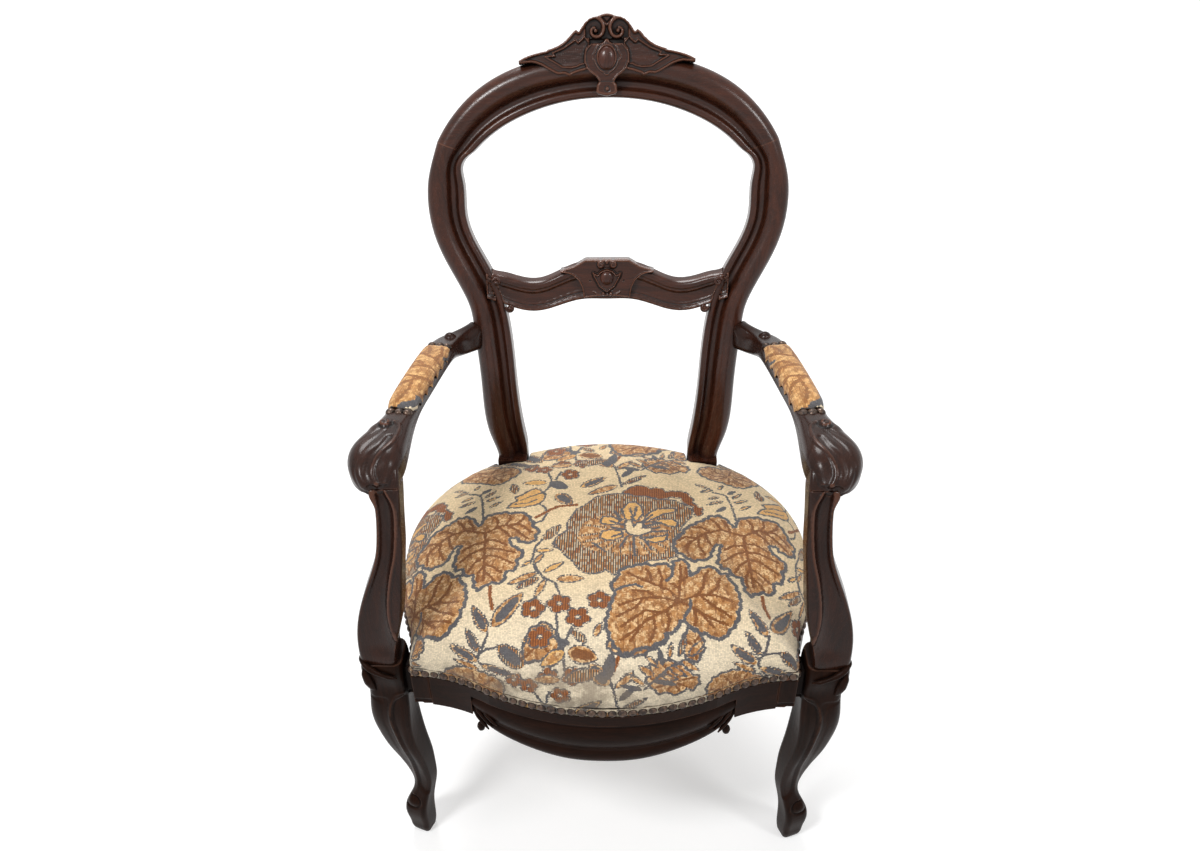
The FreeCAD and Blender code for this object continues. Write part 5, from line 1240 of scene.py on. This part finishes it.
def crestHeights(spots, edge):
    # height at each spot: the level of the field it lies in, plus half-round beads along that field's lines
    levels, beads = crest["levels"], crest["beads"]
    x, u = np.abs(spots[:, 0]), spots[:, 1]
    half = np.column_stack([x, u])
    # wings, lower towards their tips and a little hollow between their two beads
    h = levels["wing"] - (levels["wing"] - levels["tip"]) * smoothStep(x, 55, 112)
    h = h - 0.9 * smoothStep(edge, 2.4, 4.2)
    panelAway = nearestOn(half, crest["panel"], True)[0]
    inPanel = lineDistance(half, crest["panel"], True)[2]
    depth, closeAcross, closeUp = crest["stipple"]
    pits = np.sin(x * closeAcross + 1.7 * np.sin(u * 2.3)) * np.sin(u * closeUp + 1.3 * np.sin(x * 2.7))
    sunk = levels["panel"] - depth * smoothStep(pits, -0.1, 0.5)
    h = np.where(inPanel, sunk + (h - levels["panel"]) * smoothStep(-panelAway, -1.0, 0), h)
    h = h + bead(panelAway, beads["panel"])
    h = h + bead(np.abs(edge - 1.7), beads["edge"]) * (u > crest["edgeBeadFrom"])
    h = h + bead(nearestOn(half, crest["tail"])[0], beads["tail"])
    # shield with the neck and tab under it
    shieldAway = nearestOn(half, crest["shield"])[0]
    shieldLine = np.array(crest["shield"])
    reach = np.interp(u, shieldLine[::-1, 1], shieldLine[::-1, 0])
    low, high = crest["shieldBand"]
    onShield = (x < reach) & (u > low) & (u < high)
    h = np.where(onShield, levels["shield"] + 0.8 * (1 - (x / 28) ** 2), h)
    h = np.where(u <= low, levels["shield"] + 0.6 - 1.2 * smoothStep(-edge, -2.2, 0), h)
    low, high = crest["shieldBeadBand"]
    h = np.where((u < high) & (u > low), h + bead(shieldAway, beads["shield"]), h)
    h = h + bead(nearestOn(half, crest["neck"])[0], beads["neck"])
    # the frame round the cabochon, with its four small points
    ox, ou, ax, au = crest["oval"]
    angle = np.arctan2((u - ou) / au, (x - ox) / ax)
    radius = np.hypot((x - ox) / ax, (u - ou) / au)
    point = np.maximum(np.abs(np.cos(angle)), np.abs(np.sin(angle)))
    outer = 1 + 0.16 * smoothStep(point, 0.965, 1.0)
    inOval = onShield | ((radius < outer + 0.05) & (u > 213.5))
    h = np.where(inOval, h + bead(np.abs(radius - outer) * ax, beads["frame"]), h)
    ring = levels["shield"] + 0.8 + bead(np.abs(radius - 0.78) * ax, beads["ring"]) - 0.6 * (radius < 0.7)
    h = np.where(radius < outer, ring, h)
    bx, bu = crest["boss"]
    away = np.hypot(spots[:, 0] - bx, u - bu)
    h = h + bead(away, beads["boss"]) + bead(np.abs(away - beads["boss"][1] - 0.6), beads["bossRing"])
    # the hollow shelf, the small cap between the scrolls, and the scrolls themselves
    sx, su = crest["scroll"]
    away = np.hypot(x - sx, u - su)
    low, high = crest["shelfBand"]
    shelf = (u > low) & (x < 21.5) & (u < high) & ~onShield
    h = np.where(shelf & (radius > outer + 0.05), levels["shelf"] + 5 * smoothStep(u, 240.1, 244.8), h)
    cap = levels["cap"] - 3.5 * smoothStep(-u, -258.1, -246.7)
    h = np.where((u >= high) & (x < 27) & (away < 17), cap, h)
    turn = np.array(crest["scrollTurn"], float)
    theta = np.radians(np.linspace(turn[0, 0], turn[-1, 0], 90))
    r = np.interp(np.degrees(theta), turn[:, 0], turn[:, 1])
    spiral = np.column_stack([sx + r * np.cos(theta), su + r * np.sin(theta)])
    bandAway, bandSpot = nearestOn(half, np.vstack([crest["scrollStart"], spiral]))
    bandWidth = 1.5 + 0.085 * np.hypot(bandSpot[:, 0] - sx, bandSpot[:, 1] - su)
    band = ridge(bandAway, bandWidth)
    h = np.where(band > 0, np.maximum(h, levels["scroll"] + 3.2 * band), h)
    h = np.where(away < 2.6, np.maximum(h, levels["scroll"] - 1 + bead(away, beads["eye"])), h)
    crease = nearestOn(half, crest["crease"])[0]
    creased = np.maximum(h, levels["scroll"] + bead(crease, beads["crease"]))
    h = np.where(crease < beads["crease"][1], creased, h)
    # every outer edge is eased
    ease = crest["ease"]
    return h - ease * (1 - ridge(np.maximum(ease - edge, 0), ease))


def bothHalves(right):
    right = np.array(right, float)
    return np.vstack([right, right[1:-1][::-1] * (-1, 1)])


def makeCrest(c):
    mesh = reliefMesh("crestCarving", bothHalves(c["outline"]), c["step"], crestHeights, onLeanPlane,
                      c["back"])
    piece = adoptMesh("crestCarving", turnedOutward(mesh), walnutAcross)
    markRelief(piece.data, 12, leanForward)
    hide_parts("crest_carving", "crest_scrolls")


makeCrest(crest)
print("crest carved")


# arm pads: the same cloth in a more golden yarn, swelled from their packed stuffing
padYarn = {
    **tapestryYarn, "brown": rgb(188, 136, 80), "brownPale": rgb(214, 168, 110), "vein": rgb(146, 96, 50),
    "cream": rgb(222, 190, 146),
}
padTapestry = tapestryMaterial("padTapestry", padYarn, 0.0)
armPad = {
    "voxel": 0.0035,
    "pressure": 4.0,
    "frames": 20,
    "heldBelow": 0.6625,
    "fadeIn": 0.006,  # metres up from there to full swelling
    "cap": 0.0022,
    # right arm's middle line, from above
    "path": [(222, 76), (230, 28), (237, -16), (243.5, -53), (247.5, -82)],
    # the place on the cloth that lies at the pad's middle, and how much of it shows
    "motif": (62, -196, 0.85),
    "halfLength": 80,  # of the pad, along its line
    "turnDown": 668,
}


def makeArmPad(side, s):
    piece = remeshed(side + "ArmPad", side + "_arm_pad_stuffing", s["voxel"], padTapestry)
    rise = smoothStep(coordsOf(piece.data)[:, 2], s["heldBelow"], s["heldBelow"] + s["fadeIn"])
    swell(piece, rise <= 0, s["cap"] * rise, s)
    mesh = divided(piece)
    places, normals = coordsOf(mesh) * 1000, normalsOf(mesh)
    sign = 1 if side == "right" else -1
    line = curveThrough(s["path"])
    flat = places[:, :2] * (sign, 1)
    away, spot = nearestOn(flat, line)
    run = np.cumsum(np.linalg.norm(np.diff(line, axis=0), axis=1))
    along = np.interp(-spot[:, 1], -line[:, 1], np.concatenate([[0], run]))
    across = np.where(flat[:, 0] > spot[:, 0], away, -away)
    across = across + np.sign(across) * np.maximum(s["turnDown"] - places[:, 2], 0)
    x, y, share = s["motif"]
    cloth = np.column_stack([x + sign * across * share, y + (s["halfLength"] - along) * share])
    dressInCloth(mesh, cloth, tapestryMotifs)
    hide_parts(side + "_arm_pad_stuffing", side + "_arm_pad_cover")


for side in ("left", "right"):
    makeArmPad(side, armPad)
print("arm pads made")


# under the seat: hessian over the springs and woven webbing straps
def weaveMaterial(name, warp, dark, pitch, stripe):
    material, tree, shader = newMaterial(name)
    place = tree.nodes.new("ShaderNodeTexCoord")
    split = addNode(tree, "ShaderNodeSeparateXYZ", {0: place.outputs["Object"]})
    across = mathNode(tree, "SINE", mathNode(tree, "MULTIPLY", split.outputs[0], 2 * np.pi / pitch))
    along = mathNode(tree, "SINE", mathNode(tree, "MULTIPLY", split.outputs[1], 2 * np.pi / pitch))
    weave = mathNode(tree, "MULTIPLY", across, along)
    slub = noiseNode(tree, place.outputs["Object"], 160.0, 4.0)
    uneven = mathNode(tree, "MULTIPLY", slub.outputs[0], 0.5)
    share = mathNode(tree, "MULTIPLY_ADD", ranged(tree, weave, -0.6, 0.6), 0.6, uneven)
    colour = mixColour(tree, share, dark, warp)
    broad = noiseNode(tree, place.outputs["Object"], 9.0, 3.0)
    faint = mathNode(tree, "MULTIPLY", ranged(tree, broad.outputs[0], 0.45, 0.65), 0.35)
    colour = mixColour(tree, faint, colour, stripe)
    tree.links.new(colour, shader.inputs["Base Color"])
    bump = addNode(tree, "ShaderNodeBump", {"Strength": 0.5, "Distance": 0.0005, "Height": weave})
    tree.links.new(bump.outputs[0], shader.inputs["Normal"])
    shader.inputs["Roughness"].default_value = 0.92
    return material


hessianCloth = weaveMaterial("hessianCloth", rgb(176, 146, 102), rgb(92, 70, 46), 0.0022, rgb(120, 94, 62))
juteStrap = weaveMaterial("juteStrap", rgb(188, 160, 118), rgb(104, 80, 54), 0.0032, rgb(132, 104, 72))
sheetForm = {
    "step": 5.0,
    "back": 0.1,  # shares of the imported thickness: the lower face, the upper face and its waves
    "face": 0.62,
    "wave": 0.3,
    "waveLength": (17, 21),
    "edgeFade": 20,
    "shortest": 0.05,  # closer points of an outline are one
}


def faceOutlines(mesh):
    # the outlines of the faces that look up, one for each separate face patch
    work = bmesh.new()
    work.from_mesh(mesh)
    bmesh.ops.remove_doubles(work, verts=work.verts, dist=1e-6)
    up = [face for face in work.faces if face.normal.z > 0.9]
    links = {}
    for face in up:
        for loop in face.loops:
            edge = loop.edge
            if sum(other.normal.z > 0.9 for other in edge.link_faces) == 1:
                links[loop.vert.index] = loop.link_loop_next.vert.index
    spots = {vert.index: (vert.co.x * 1000, vert.co.y * 1000) for vert in work.verts if vert.index in links}
    outlines = []
    while links:
        start, after = links.popitem()
        outline = [spots[start]]
        while after in links:
            outline.append(spots[after])
            after = links.pop(after)
        outlines.append(outline)
    work.free()
    return [outline for outline in outlines if len(outline) > 3]


def makeSheet(node, name, outline, finish, s):
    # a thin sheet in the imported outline, measured flat by its sides and by its area
    low, high = (np.array(corner) * 1000 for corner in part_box(node))
    thick = high[2] - low[2]
    spots = outline[np.linalg.norm(outline - np.roll(outline, 1, axis=0), axis=1) > s["shortest"]]

    def waved(places, edge):
        # a stretched cloth's unevenness: a sine across times a sine along, within its own thickness
        alongX, alongY = s["waveLength"]
        waves = np.sin(places[:, 0] / alongX) * np.sin(places[:, 1] / alongY)
        return thick * (s["face"] + s["wave"] * waves) * np.minimum(1, 0.6 + edge / s["edgeFade"])

    def lying(places, heights):
        return np.column_stack([places, low[2] + heights])

    mesh = reliefMesh(name, spots, s["step"], waved, lying, s["back"] * thick)
    piece = adoptMesh(name, turnedOutward(mesh), finish)
    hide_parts(node)


def makeSheets(node, name, finish, s):
    for number, outline in enumerate(faceOutlines(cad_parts[node].data)):
        makeSheet(node, "%s%d" % (name, number + 1), np.array(outline), finish, s)


makeSheets("spring_hessian", "hessian", hessianCloth, sheetForm)
makeSheets("webbing_long", "webbingLong", juteStrap, sheetForm)
makeSheets("webbing_cross", "webbingCross", juteStrap,
           sheetForm)
print("hessian and webbing made")


# cross rail: bead, hollow and band along the front, then its plate and small scrolls
crossRailForm = {
    "voxel": 0.0014,
    "hollow": 3.4,
    # of the rail's height: where the hollow begins, is full and ends
    "hollowShares": (0.15, 0.23, 0.60, 0.72),
    "beads": [  # share of the height, half width as a share of it, and millimetres cut away
        (0.27, 0.035, -1.0), (0.145, 0.03, 0.9), (0.74, 0.03, 0.9), (0.07, 0.07, -0.8), (0.87, 0.11, -0.7)],
}


def cutCrossRail(places, normals):
    # on the front: a hollow with smooth ends over a share of the height, and half-round beads and grooves
    form = crossRailForm
    low, high = edgeLines(places[:, 0], places[:, 2], 110)
    share = (places[:, 2] - low) / (high - low)
    a, b, c, d = form["hollowShares"]
    cut = form["hollow"] * smoothStep(share, a, b) * (1 - smoothStep(share, c, d))
    for middle, halfWidth, depth in form["beads"]:
        cut = cut + depth * ridge(share - middle, halfWidth)
    return places - normals * (cut * smoothStep(-normals[:, 1], 0.25, 0.7))[:, None]


sculpt("crossRail", "cross_rail", crossRailForm["voxel"], cutCrossRail, walnutAcross)

crossPlate = {
    "outline": [  # right half from the top centre, clockwise: across and up the slope from the rail's middle
        (0, 34.2), (28.5, 34.2), (31, 33.6), (44.5, 25.8), (56, 22.2), (64.2, 20.2), (63.8, 18.1),
        (54.7, 17.4), (47.4, 14.8), (38.8, 7.7), (34, -1.9), (32.4, -10), (32, -16.4), (25.4, -15.7),
        (15.6, -14.5), (0, -14.2)],
    "sideBead": [(64, 19), (54.7, 17.4), (47.4, 14.8), (38.8, 7.7), (34, -1.9), (32.4, -10), (32, -16.4)],
    "frame": [
        (0, 21.9), (7.8, 19.1), (12.7, 13.6), (18.6, 17), (17, 12), (14.4, 7.7), (9.5, -1.2), (0, -8.2)],
    "scroll": (8.4, 28.4, 5.4),
    "lowScroll": (5.0, -10.6, 2.7),
    "lowLeaf": [(8, -12), (13, -11.4), (18.5, -8)],
    "dot": (23, 7, 1.7),
    "frameBack": [(-1, -8.2), (-1, 21.9)],  # closes the frame across the middle line
    "beads": {  # height and half width
        "side": (2.4, 1.7), "edge": (0.9, 0.9), "frame": (2.5, 1.3), "groove": (-1.0, 0.9),
        "leaf": (1.2, 1.3), "dotRim": (0.5, 0.7)},
    "field": 14.4,  # height out of the rail's middle plane
    "raised": 15.6,
    "ease": 1.0,
    "knob": (0, 31, 2.6),
    "foot": (0, 200.03, 690.0),
    "slope": np.radians(15.5),  # the face leans back from upright
    "back": -10.0,
    "step": 0.7,
}


def onPlatePlane(spots, heights):
    return onSlope(spots, heights, crossPlate["foot"], crossPlate["slope"])


def spiralLine(centre, radius, turns, start, sense):
    # a spiral that closes in on its eye: the radius shrinks evenly as the angle grows
    share = np.linspace(0, 1, 60)
    angle = np.radians(start) + sense * share * turns * 2 * np.pi
    r = radius * (1 - 0.82 * share)
    return np.column_stack([centre[0] + r * np.cos(angle), centre[1] + r * np.sin(angle)])


def plateHeights(spots, edge):
    # the field's level plus half-round beads, and the two coils and the knob as small domes
    p = crossPlate
    beads = p["beads"]
    half = np.column_stack([np.abs(spots[:, 0]), spots[:, 1]])
    h = p["field"] + bead(nearestOn(half, curveThrough(p["sideBead"]))[0], beads["side"])
    h = h + bead(edge - 0.8, beads["edge"])
    frameAway = nearestOn(half, p["frame"])[0]
    inFrame = lineDistance(half, p["frame"] + p["frameBack"], True)[2]
    h = np.where(inFrame, p["raised"], h)
    h = h + bead(frameAway, beads["frame"]) + bead(frameAway - 2.1, beads["groove"]) * ~inFrame
    for x, u, r in (p["scroll"], p["lowScroll"]):
        away = np.hypot(half[:, 0] - x, half[:, 1] - u)
        h = np.where(away < r, np.maximum(h, p["raised"] + 1.6 * ridge(away, r)), h)
        coil = nearestOn(half, spiralLine((x, u), r * 0.8, 1.3, 100, -1))[0]
        h = h + 1.5 * ridge(coil, 0.26 * r) * (away < r)
    x, u, r = p["knob"]
    h = h + 2.0 * ridge(np.hypot(half[:, 0] - x, half[:, 1] - u), r)
    h = h + bead(nearestOn(half, curveThrough(p["lowLeaf"]))[0], beads["leaf"])
    x, u, r = p["dot"]
    away = np.hypot(half[:, 0] - x, half[:, 1] - u)
    h = h - 1.2 * ridge(away, r) + bead(away - r, beads["dotRim"])
    ease = p["ease"]
    return h - ease * (1 - ridge(np.maximum(ease - edge, 0), ease))


def makeCrossPlate(p):
    mesh = reliefMesh("crossPlate", bothHalves(p["outline"]), p["step"], plateHeights, onPlatePlane,
                      p["back"])
    piece = adoptMesh("crossPlate", turnedOutward(mesh), walnutAcross)
    markRelief(piece.data, 12, leanForward)
    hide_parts("cross_rail_plate")


makeCrossPlate(crossPlate)


# small coiled ends: a short tapered tube wound round its eye, on a disc
def coilParts(centre, across, upward, radius, turns, start, sense, thick):
    # path: the centre plus a flat spiral, rising out of its plane towards the eye
    across, upward = np.array(across, float), np.array(upward, float)
    out = np.cross(across, upward)
    flat = spiralLine((0, 0), radius, turns, start, sense)
    share = np.linspace(0, 1, len(flat))
    outward = (share * thick * 0.7)[:, None] * out
    path = np.array(centre) + flat[:, :1] * across + flat[:, 1:] * upward + outward
    radii = thick * (0.55 + 0.45 * (1 - share))
    radii[0] = thick * 0.5
    eye = np.array(centre) + np.linspace(-2.2, 1.15, 8)[:, None] * thick * out
    eyeRadii = radius * 0.62 * np.sqrt(np.clip(1 - np.linspace(-0.2, 1, 8) ** 2, 0.02, 1))
    return [tubeMesh("coil", path, radii, out, 10), tubeMesh("eye", eye, eyeRadii, across, 14)]


crossScrolls = {
    "upper": (150.5, 173.5, 706.0, 5.4),  # right side: across, back, up, radius
    "lower": (133.5, 171.0, 668.5, 5.0),
    "thick": 2.7,
    "up": (0, 0.25, 0.97),  # along the leaning rail
    "turns": 1.35,
    "start": 20,  # degrees
}


def makeCrossScrolls(s):
    parts = []
    for side in (-1, 1):
        for key, sense in (("upper", 1), ("lower", -1)):
            x, y, z, radius = s[key]
            parts += coilParts((side * x, y, z), (side, 0, 0), s["up"], radius, s["turns"], s["start"], sense,
                               s["thick"])
    piece = adoptMesh("crossScrolls", turnedOutward(joinedMesh("crossScrolls", parts)), walnutAcross)


makeCrossScrolls(crossScrolls)
print("cross rail carved")


# arms and supports: one bead runs from the hand's small scroll down the support's inner edge
handForm = {
    "voxel": 0.0015,
    "bead": [  # right side, millimetres
        (247, -112, 674), (240, -119, 674), (237.5, -131.7, 674.5), (240.6, -154.6, 676), (252, -176, 674),
        (257.5, -188, 669), (259.5, -197.4, 661), (254.5, -204.8, 651), (245.5, -205.5, 637),
        (239, -208.5, 622), (238.6, -212.4, 602), (242.7, -223.3, 564), (251, -233.4, 531),
        (256.5, -242.2, 499), (256.8, -248.8, 471), (252, -252, 444), (247, -254, 425)],
    "valley": [
        (246.5, -146, 676), (252, -163, 676), (261, -177, 673), (266, -189, 667), (267.5, -198, 658),
        (262, -205, 648), (253, -206, 636)],
    "middleGroove": [
        (253.8, -132, 675), (260, -146, 676), (268, -160, 676), (274.5, -174, 673), (279, -185, 669),
        (280.5, -195, 660), (275.5, -203, 649), (266, -204, 637)],
    "outerGroove": [
        (260.6, -130, 675), (270, -143, 675), (279, -155, 674), (286, -168, 669), (289, -180, 662),
        (287, -190, 652)],
    "scroll": (256.5, -117.5, 7.6),
    "hand": -100,  # the hand lies in front of this
    "bulge": ((268, -122, 668), 13, 1.4),  # beside the scroll: middle, reach and rise
    "drawnUp": ((262, 276), -150, 4.6),  # the underside of the outer half: across, in front of, and how far
    "supportBeadUp": (425, 445),
    "hollow": 7.2,  # of the support's front
    "hollowUp": (410, 436),
    "flare": (26, 3, 5.0),  # the support's outer side under the hand: from and to below its top, and how far
}


def onRightSide(places):
    # a left place mirrored to the right: across without its sign
    return places * np.hstack([np.sign(places[:, :1]), np.ones((len(places), 2))])


def cutArm(places, normals):
    # each place moves along its normal by the sum of bead, grooves, scroll, bulge and drawn-up underside
    h = handForm
    p = onRightSide(places)
    rise = np.zeros(len(p))
    chosen = np.flatnonzero(p[:, 1] < h["hand"])
    spots, facing = p[chosen], normals[chosen]
    bead = nearestOn(spots, curveThrough(h["bead"]))[0]
    valley = nearestOn(spots, curveThrough(h["valley"]))[0]
    middle = nearestOn(spots, curveThrough(h["middleGroove"]))[0]
    outer = nearestOn(spots, curveThrough(h["outerGroove"]))[0]
    change = 1.7 * ridge(bead, 3.0) - 2.0 * (1 - smoothStep(valley, 1.0, 6.5)) * (bead > 2.6)
    change -= 0.8 * (1 - smoothStep(middle, 0.3, 3.4)) + 0.7 * (1 - smoothStep(outer, 0.3, 3.0))
    # the small scroll: a raised coil on the hand's outer half, with its eye
    x, y, r = h["scroll"]
    away = np.hypot(spots[:, 0] - x, spots[:, 1] - y)
    coil = nearestOn(spots[:, :2], spiralLine((x, y), r * 0.86, 1.4, -120, 1))[0]
    upward = smoothStep(facing[:, 2], 0.2, 0.6)
    disc = 2.2 * (away < r) * smoothStep(-away, -r, -r + 2)
    change += upward * (disc + 1.9 * ridge(coil, 1.9) * (away < r + 1))
    change -= upward * 1.3 * ridge(away - r - 1.2, 1.6)
    middle, reach, height = h["bulge"]
    change += height * (1 - smoothStep(np.linalg.norm(spots - np.array(middle), axis=1), 2, reach))
    (start, end), ahead, height = h["drawnUp"]
    change -= height * (smoothStep(-facing[:, 2], 0.15, 0.75) * smoothStep(spots[:, 0], start, end)
                        * (spots[:, 1] < ahead))
    rise[chosen] = change
    return places + normals * rise[:, None]


def cutSupport(places, normals):
    # a bead along the inner edge, and beside it a hollow whose depth is a half sine over the width
    h = handForm
    p = onRightSide(places)
    bead = curveThrough(h["bead"])
    away = nearestOn(p, bead)[0]
    beadX = np.interp(p[:, 2], bead[::-1, 2], bead[::-1, 0])
    high = edgeLines(p[:, 2], p[:, 0], 90)[1]
    share = np.clip((p[:, 0] - beadX - 1.5) / np.maximum(high - beadX - 3.5, 1), 0, 1)
    facing = smoothStep(-normals[:, 1], 0.35, 0.8)
    hollow = h["hollow"] * np.sin(np.pi * share) ** 0.8 * smoothStep(p[:, 2], *h["hollowUp"])
    change = 1.6 * ridge(away, 2.8) * smoothStep(p[:, 2], *h["supportBeadUp"]) - hollow * facing
    # the outer side widens a little under the hand
    outward = normals[:, 0] * np.sign(places[:, 0])
    start, end, height = h["flare"]
    top = p[:, 2].max()
    change += height * smoothStep(p[:, 2], top - start, top - end) * smoothStep(outward, 0.2, 0.8)
    return places + normals * change[:, None]


for side in ("left", "right"):
    sculpt(side + "Arm", side + "_arm", handForm["voxel"], cutArm, armDeep)
    sculpt(side + "Support", side + "_arm_support", handForm["voxel"], cutSupport, armUpright)
print("arms and supports carved")


# front legs: an edge line down the front, a curled toe, and a ribbon under each support
legForm = {
    "voxel": 0.0016,
    "line": [
        (247, -246, 349.6), (264, -256, 351), (274.5, -257.4, 334), (279.5, -257, 302),
        (276.5, -253.8, 259.7), (270.5, -245, 208.7), (270.5, -229, 143), (273.5, -224, 107.8),
        (280, -224, 92)],
    "toe": (283.5, -228, 78, 10.5),
    "ribbon": [
        (303.5, -236, 407), (302.5, -248, 409.5), (297, -257, 408), (289, -261, 402.5), (279, -263, 397),
        (268, -264, 392.5), (258, -263, 389)],
    "ribbonRadii": [1.6, 3.2, 4.2, 3.8, 3.4, 3.0, 1.2],
    "drop": [(299, -255, 401), (298, -258, 392), (296, -259, 380), (293, -258, 368), (290, -256.5, 360)],
    "dropRadii": [2.4, 5.4, 6.0, 4.2, 1.2],
    "lineUp": (92, 125, 330, 352),  # heights between which the sunk face beside the line begins and ends
    "hollowUp": (110, 150),
    "ribbonSwell": (0.12, 5 * np.pi),  # share and angle of its waves
}


def cutLeg(places, normals):
    # each place moves along its normal: a bead on the line, a sunk face inside it, a faint hollow outside
    f = legForm
    p = onRightSide(places)
    line = curveThrough(f["line"])
    away = nearestOn(p, line)[0]
    lineX = np.interp(p[:, 2], line[::-1, 2], line[::-1, 0])
    facing = smoothStep(-normals[:, 1], 0.3, 0.75)
    a, b, c, d = f["lineUp"]
    inward = (lineX - p[:, 0]) * smoothStep(p[:, 2], a, b) * (1 - smoothStep(p[:, 2], c, d))
    change = 1.0 * ridge(away, 2.2) * facing - 2.4 * smoothStep(inward, 0.8, 5.0) * facing
    outward = -inward
    beside = smoothStep(outward, 1.5, 4) * (1 - smoothStep(outward, 8, 13))
    change -= 0.9 * facing * beside * smoothStep(p[:, 2], *f["hollowUp"])
    x, y, z, r = f["toe"]
    ball = np.linalg.norm(p - np.array([x, y, z]), axis=1)
    change += 2.6 * (1 - smoothStep(ball, 2, r)) - 1.5 * ridge(ball - r - 1.5, 2.4) * facing
    return places + normals * change[:, None]


def strand(line, radii, perStretch, sign):
    # path on one side, and its radius between the given radii, evenly spread along it
    path = curveThrough(line, perStretch) * (sign, 1, 1)
    return path, np.interp(np.linspace(0, 1, len(path)), np.linspace(0, 1, len(radii)), radii)


def makeRibbons(f):
    for side, sign in (("left", -1), ("right", 1)):
        name = side + "KneeRibbon"
        path, size = strand(f["ribbon"], f["ribbonRadii"], 6, sign)
        share, angle = f["ribbonSwell"]
        size = size * (1 + share * np.sin(np.linspace(0, angle, len(path))))
        parts = [tubeMesh("ribbon", path, size, (0, 0, 1), 14)]
        parts.append(tubeMesh("ribbon", *strand(f["drop"], f["dropRadii"], 6, sign), (1, 0, 0), 14))
        piece = adoptMesh(name, turnedOutward(joinedMesh(name, parts)), legUpright)


for side in ("left", "right"):
    sculpt(side + "Leg", side + "_front_leg", legForm["voxel"], cutLeg, legUpright)
makeRibbons(legForm)
print("legs carved")


# front rail: a small leaf with its knob at each end of the moulded middle
railLeaf = {
    "strands": [
        [(163, -274, 353), (157, -279, 348), (149, -284, 339), (140, -289.5, 330)],
        [(165, -273.5, 345), (159, -278, 338), (152, -282.5, 330), (145, -287, 322)],
        [(152, -281, 353), (146, -286, 348), (139, -290, 342), (133, -293, 337)]],
    "radii": [0.8, 2.6, 2.8, 0.9],
    "knob": [(156, -278, 327), (156, -279, 324), (156, -279, 319), (156, -279, 314), (156, -279, 311)],
    "knobRadii": [1.5, 4.2, 5.4, 4.2, 0.8],
}


def makeRailLeaves(f):
    parts = []
    for sign in (-1, 1):
        for line in f["strands"]:
            parts.append(tubeMesh("strand", *strand(line, f["radii"], 6, sign), (0, 1, 0), 10))
        parts.append(tubeMesh("knob", *strand(f["knob"], f["knobRadii"], 4, sign), (0, 1, 0), 14))
    piece = adoptMesh("railLeaves", turnedOutward(joinedMesh("railLeaves", parts)), legAcross)


makeRailLeaves(railLeaf)


# stage: pale floor, white surround, soft studio lamps
studio = {
    "floorSize": 16.0,
    "floorColour": (0.62, 0.62, 0.62, 1.0),
    "surround": 0.36,  # strength of the surround for everything but camera, mirror and glass rays
    # white added to the floor for the camera: near and far strength, near and far radius
    "glow": (0.46, 0.86, 0.7, 3.2),
    "lamps": [  # place, aim, size, watts
        ((-1.2, -1.5, 2.9), (0, 0, 0.5), 0.6, 50),
        ((1.6, -1.2, 2.5), (0, 0, 0.5), 0.5, 20),
        ((-0.3, 1.5, 2.9), (0, 0, 0.6), 1.3, 60),
    ],
}


def makeStudio(s):
    half = s["floorSize"] / 2
    mesh = bpy.data.meshes.new("floor")
    mesh.from_pydata([(-half, -half, 0), (half, -half, 0), (half, half, 0), (-half, half, 0)], [],
                     [(0, 1, 2, 3)])
    floor = bpy.data.objects.new("floor", mesh)
    bpy.context.collection.objects.link(floor)
    material, tree, shader = newMaterial("floorPaint")
    shader.inputs["Base Color"].default_value = s["floorColour"]
    shader.inputs["Roughness"].default_value = 0.9
    nearGlow, farGlow, nearEdge, farEdge = s["glow"]
    place = tree.nodes.new("ShaderNodeTexCoord")
    away = addNode(tree, "ShaderNodeVectorMath", {0: place.outputs["Object"]}, operation="LENGTH")
    glow = ranged(tree, away.outputs["Value"], nearEdge, farEdge, nearGlow, farGlow)
    path = tree.nodes.new("ShaderNodeLightPath")
    seen = mathNode(tree, "MAXIMUM", path.outputs["Is Camera Ray"], path.outputs["Is Glossy Ray"])
    shader.inputs["Emission Color"].default_value = (1, 1, 1, 1)
    tree.links.new(mathNode(tree, "MULTIPLY", glow, seen), shader.inputs["Emission Strength"])
    mesh.materials.append(material)
    world = bpy.data.worlds.new("surround")
    bpy.context.scene.world = world
    world.use_nodes = True
    tree = world.node_tree
    tree.nodes.clear()
    path = tree.nodes.new("ShaderNodeLightPath")
    seen = mathNode(tree, "MAXIMUM", path.outputs["Is Camera Ray"],
                    mathNode(tree, "MAXIMUM", path.outputs["Is Glossy Ray"],
                             path.outputs["Is Transmission Ray"]))
    plain = addNode(tree, "ShaderNodeBackground", {"Color": (1, 1, 1, 1), "Strength": s["surround"]})
    white = addNode(tree, "ShaderNodeBackground", {"Color": (1, 1, 1, 1), "Strength": 1.0})
    both = addNode(tree, "ShaderNodeMixShader", {0: seen, 1: plain.outputs[0], 2: white.outputs[0]})
    out = tree.nodes.new("ShaderNodeOutputWorld")
    tree.links.new(both.outputs[0], out.inputs[0])
    for number, (place, aim, size, watts) in enumerate(s["lamps"]):
        data = bpy.data.lights.new("lamp%d" % number, "AREA")
        data.shape = "DISK"
        data.size = size
        data.energy = watts
        lamp = bpy.data.objects.new("lamp%d" % number, data)
        bpy.context.collection.objects.link(lamp)
        away = np.array(place, float) - np.array(aim, float)
        away /= np.linalg.norm(away)
        side = np.cross((0, 0, 1), away)
        side /= np.linalg.norm(side)
        columns = np.eye(4)
        columns[:3] = np.column_stack([side, np.cross(away, side), away, place])
        lamp.matrix_world = Matrix(columns.tolist())


makeStudio(studio)
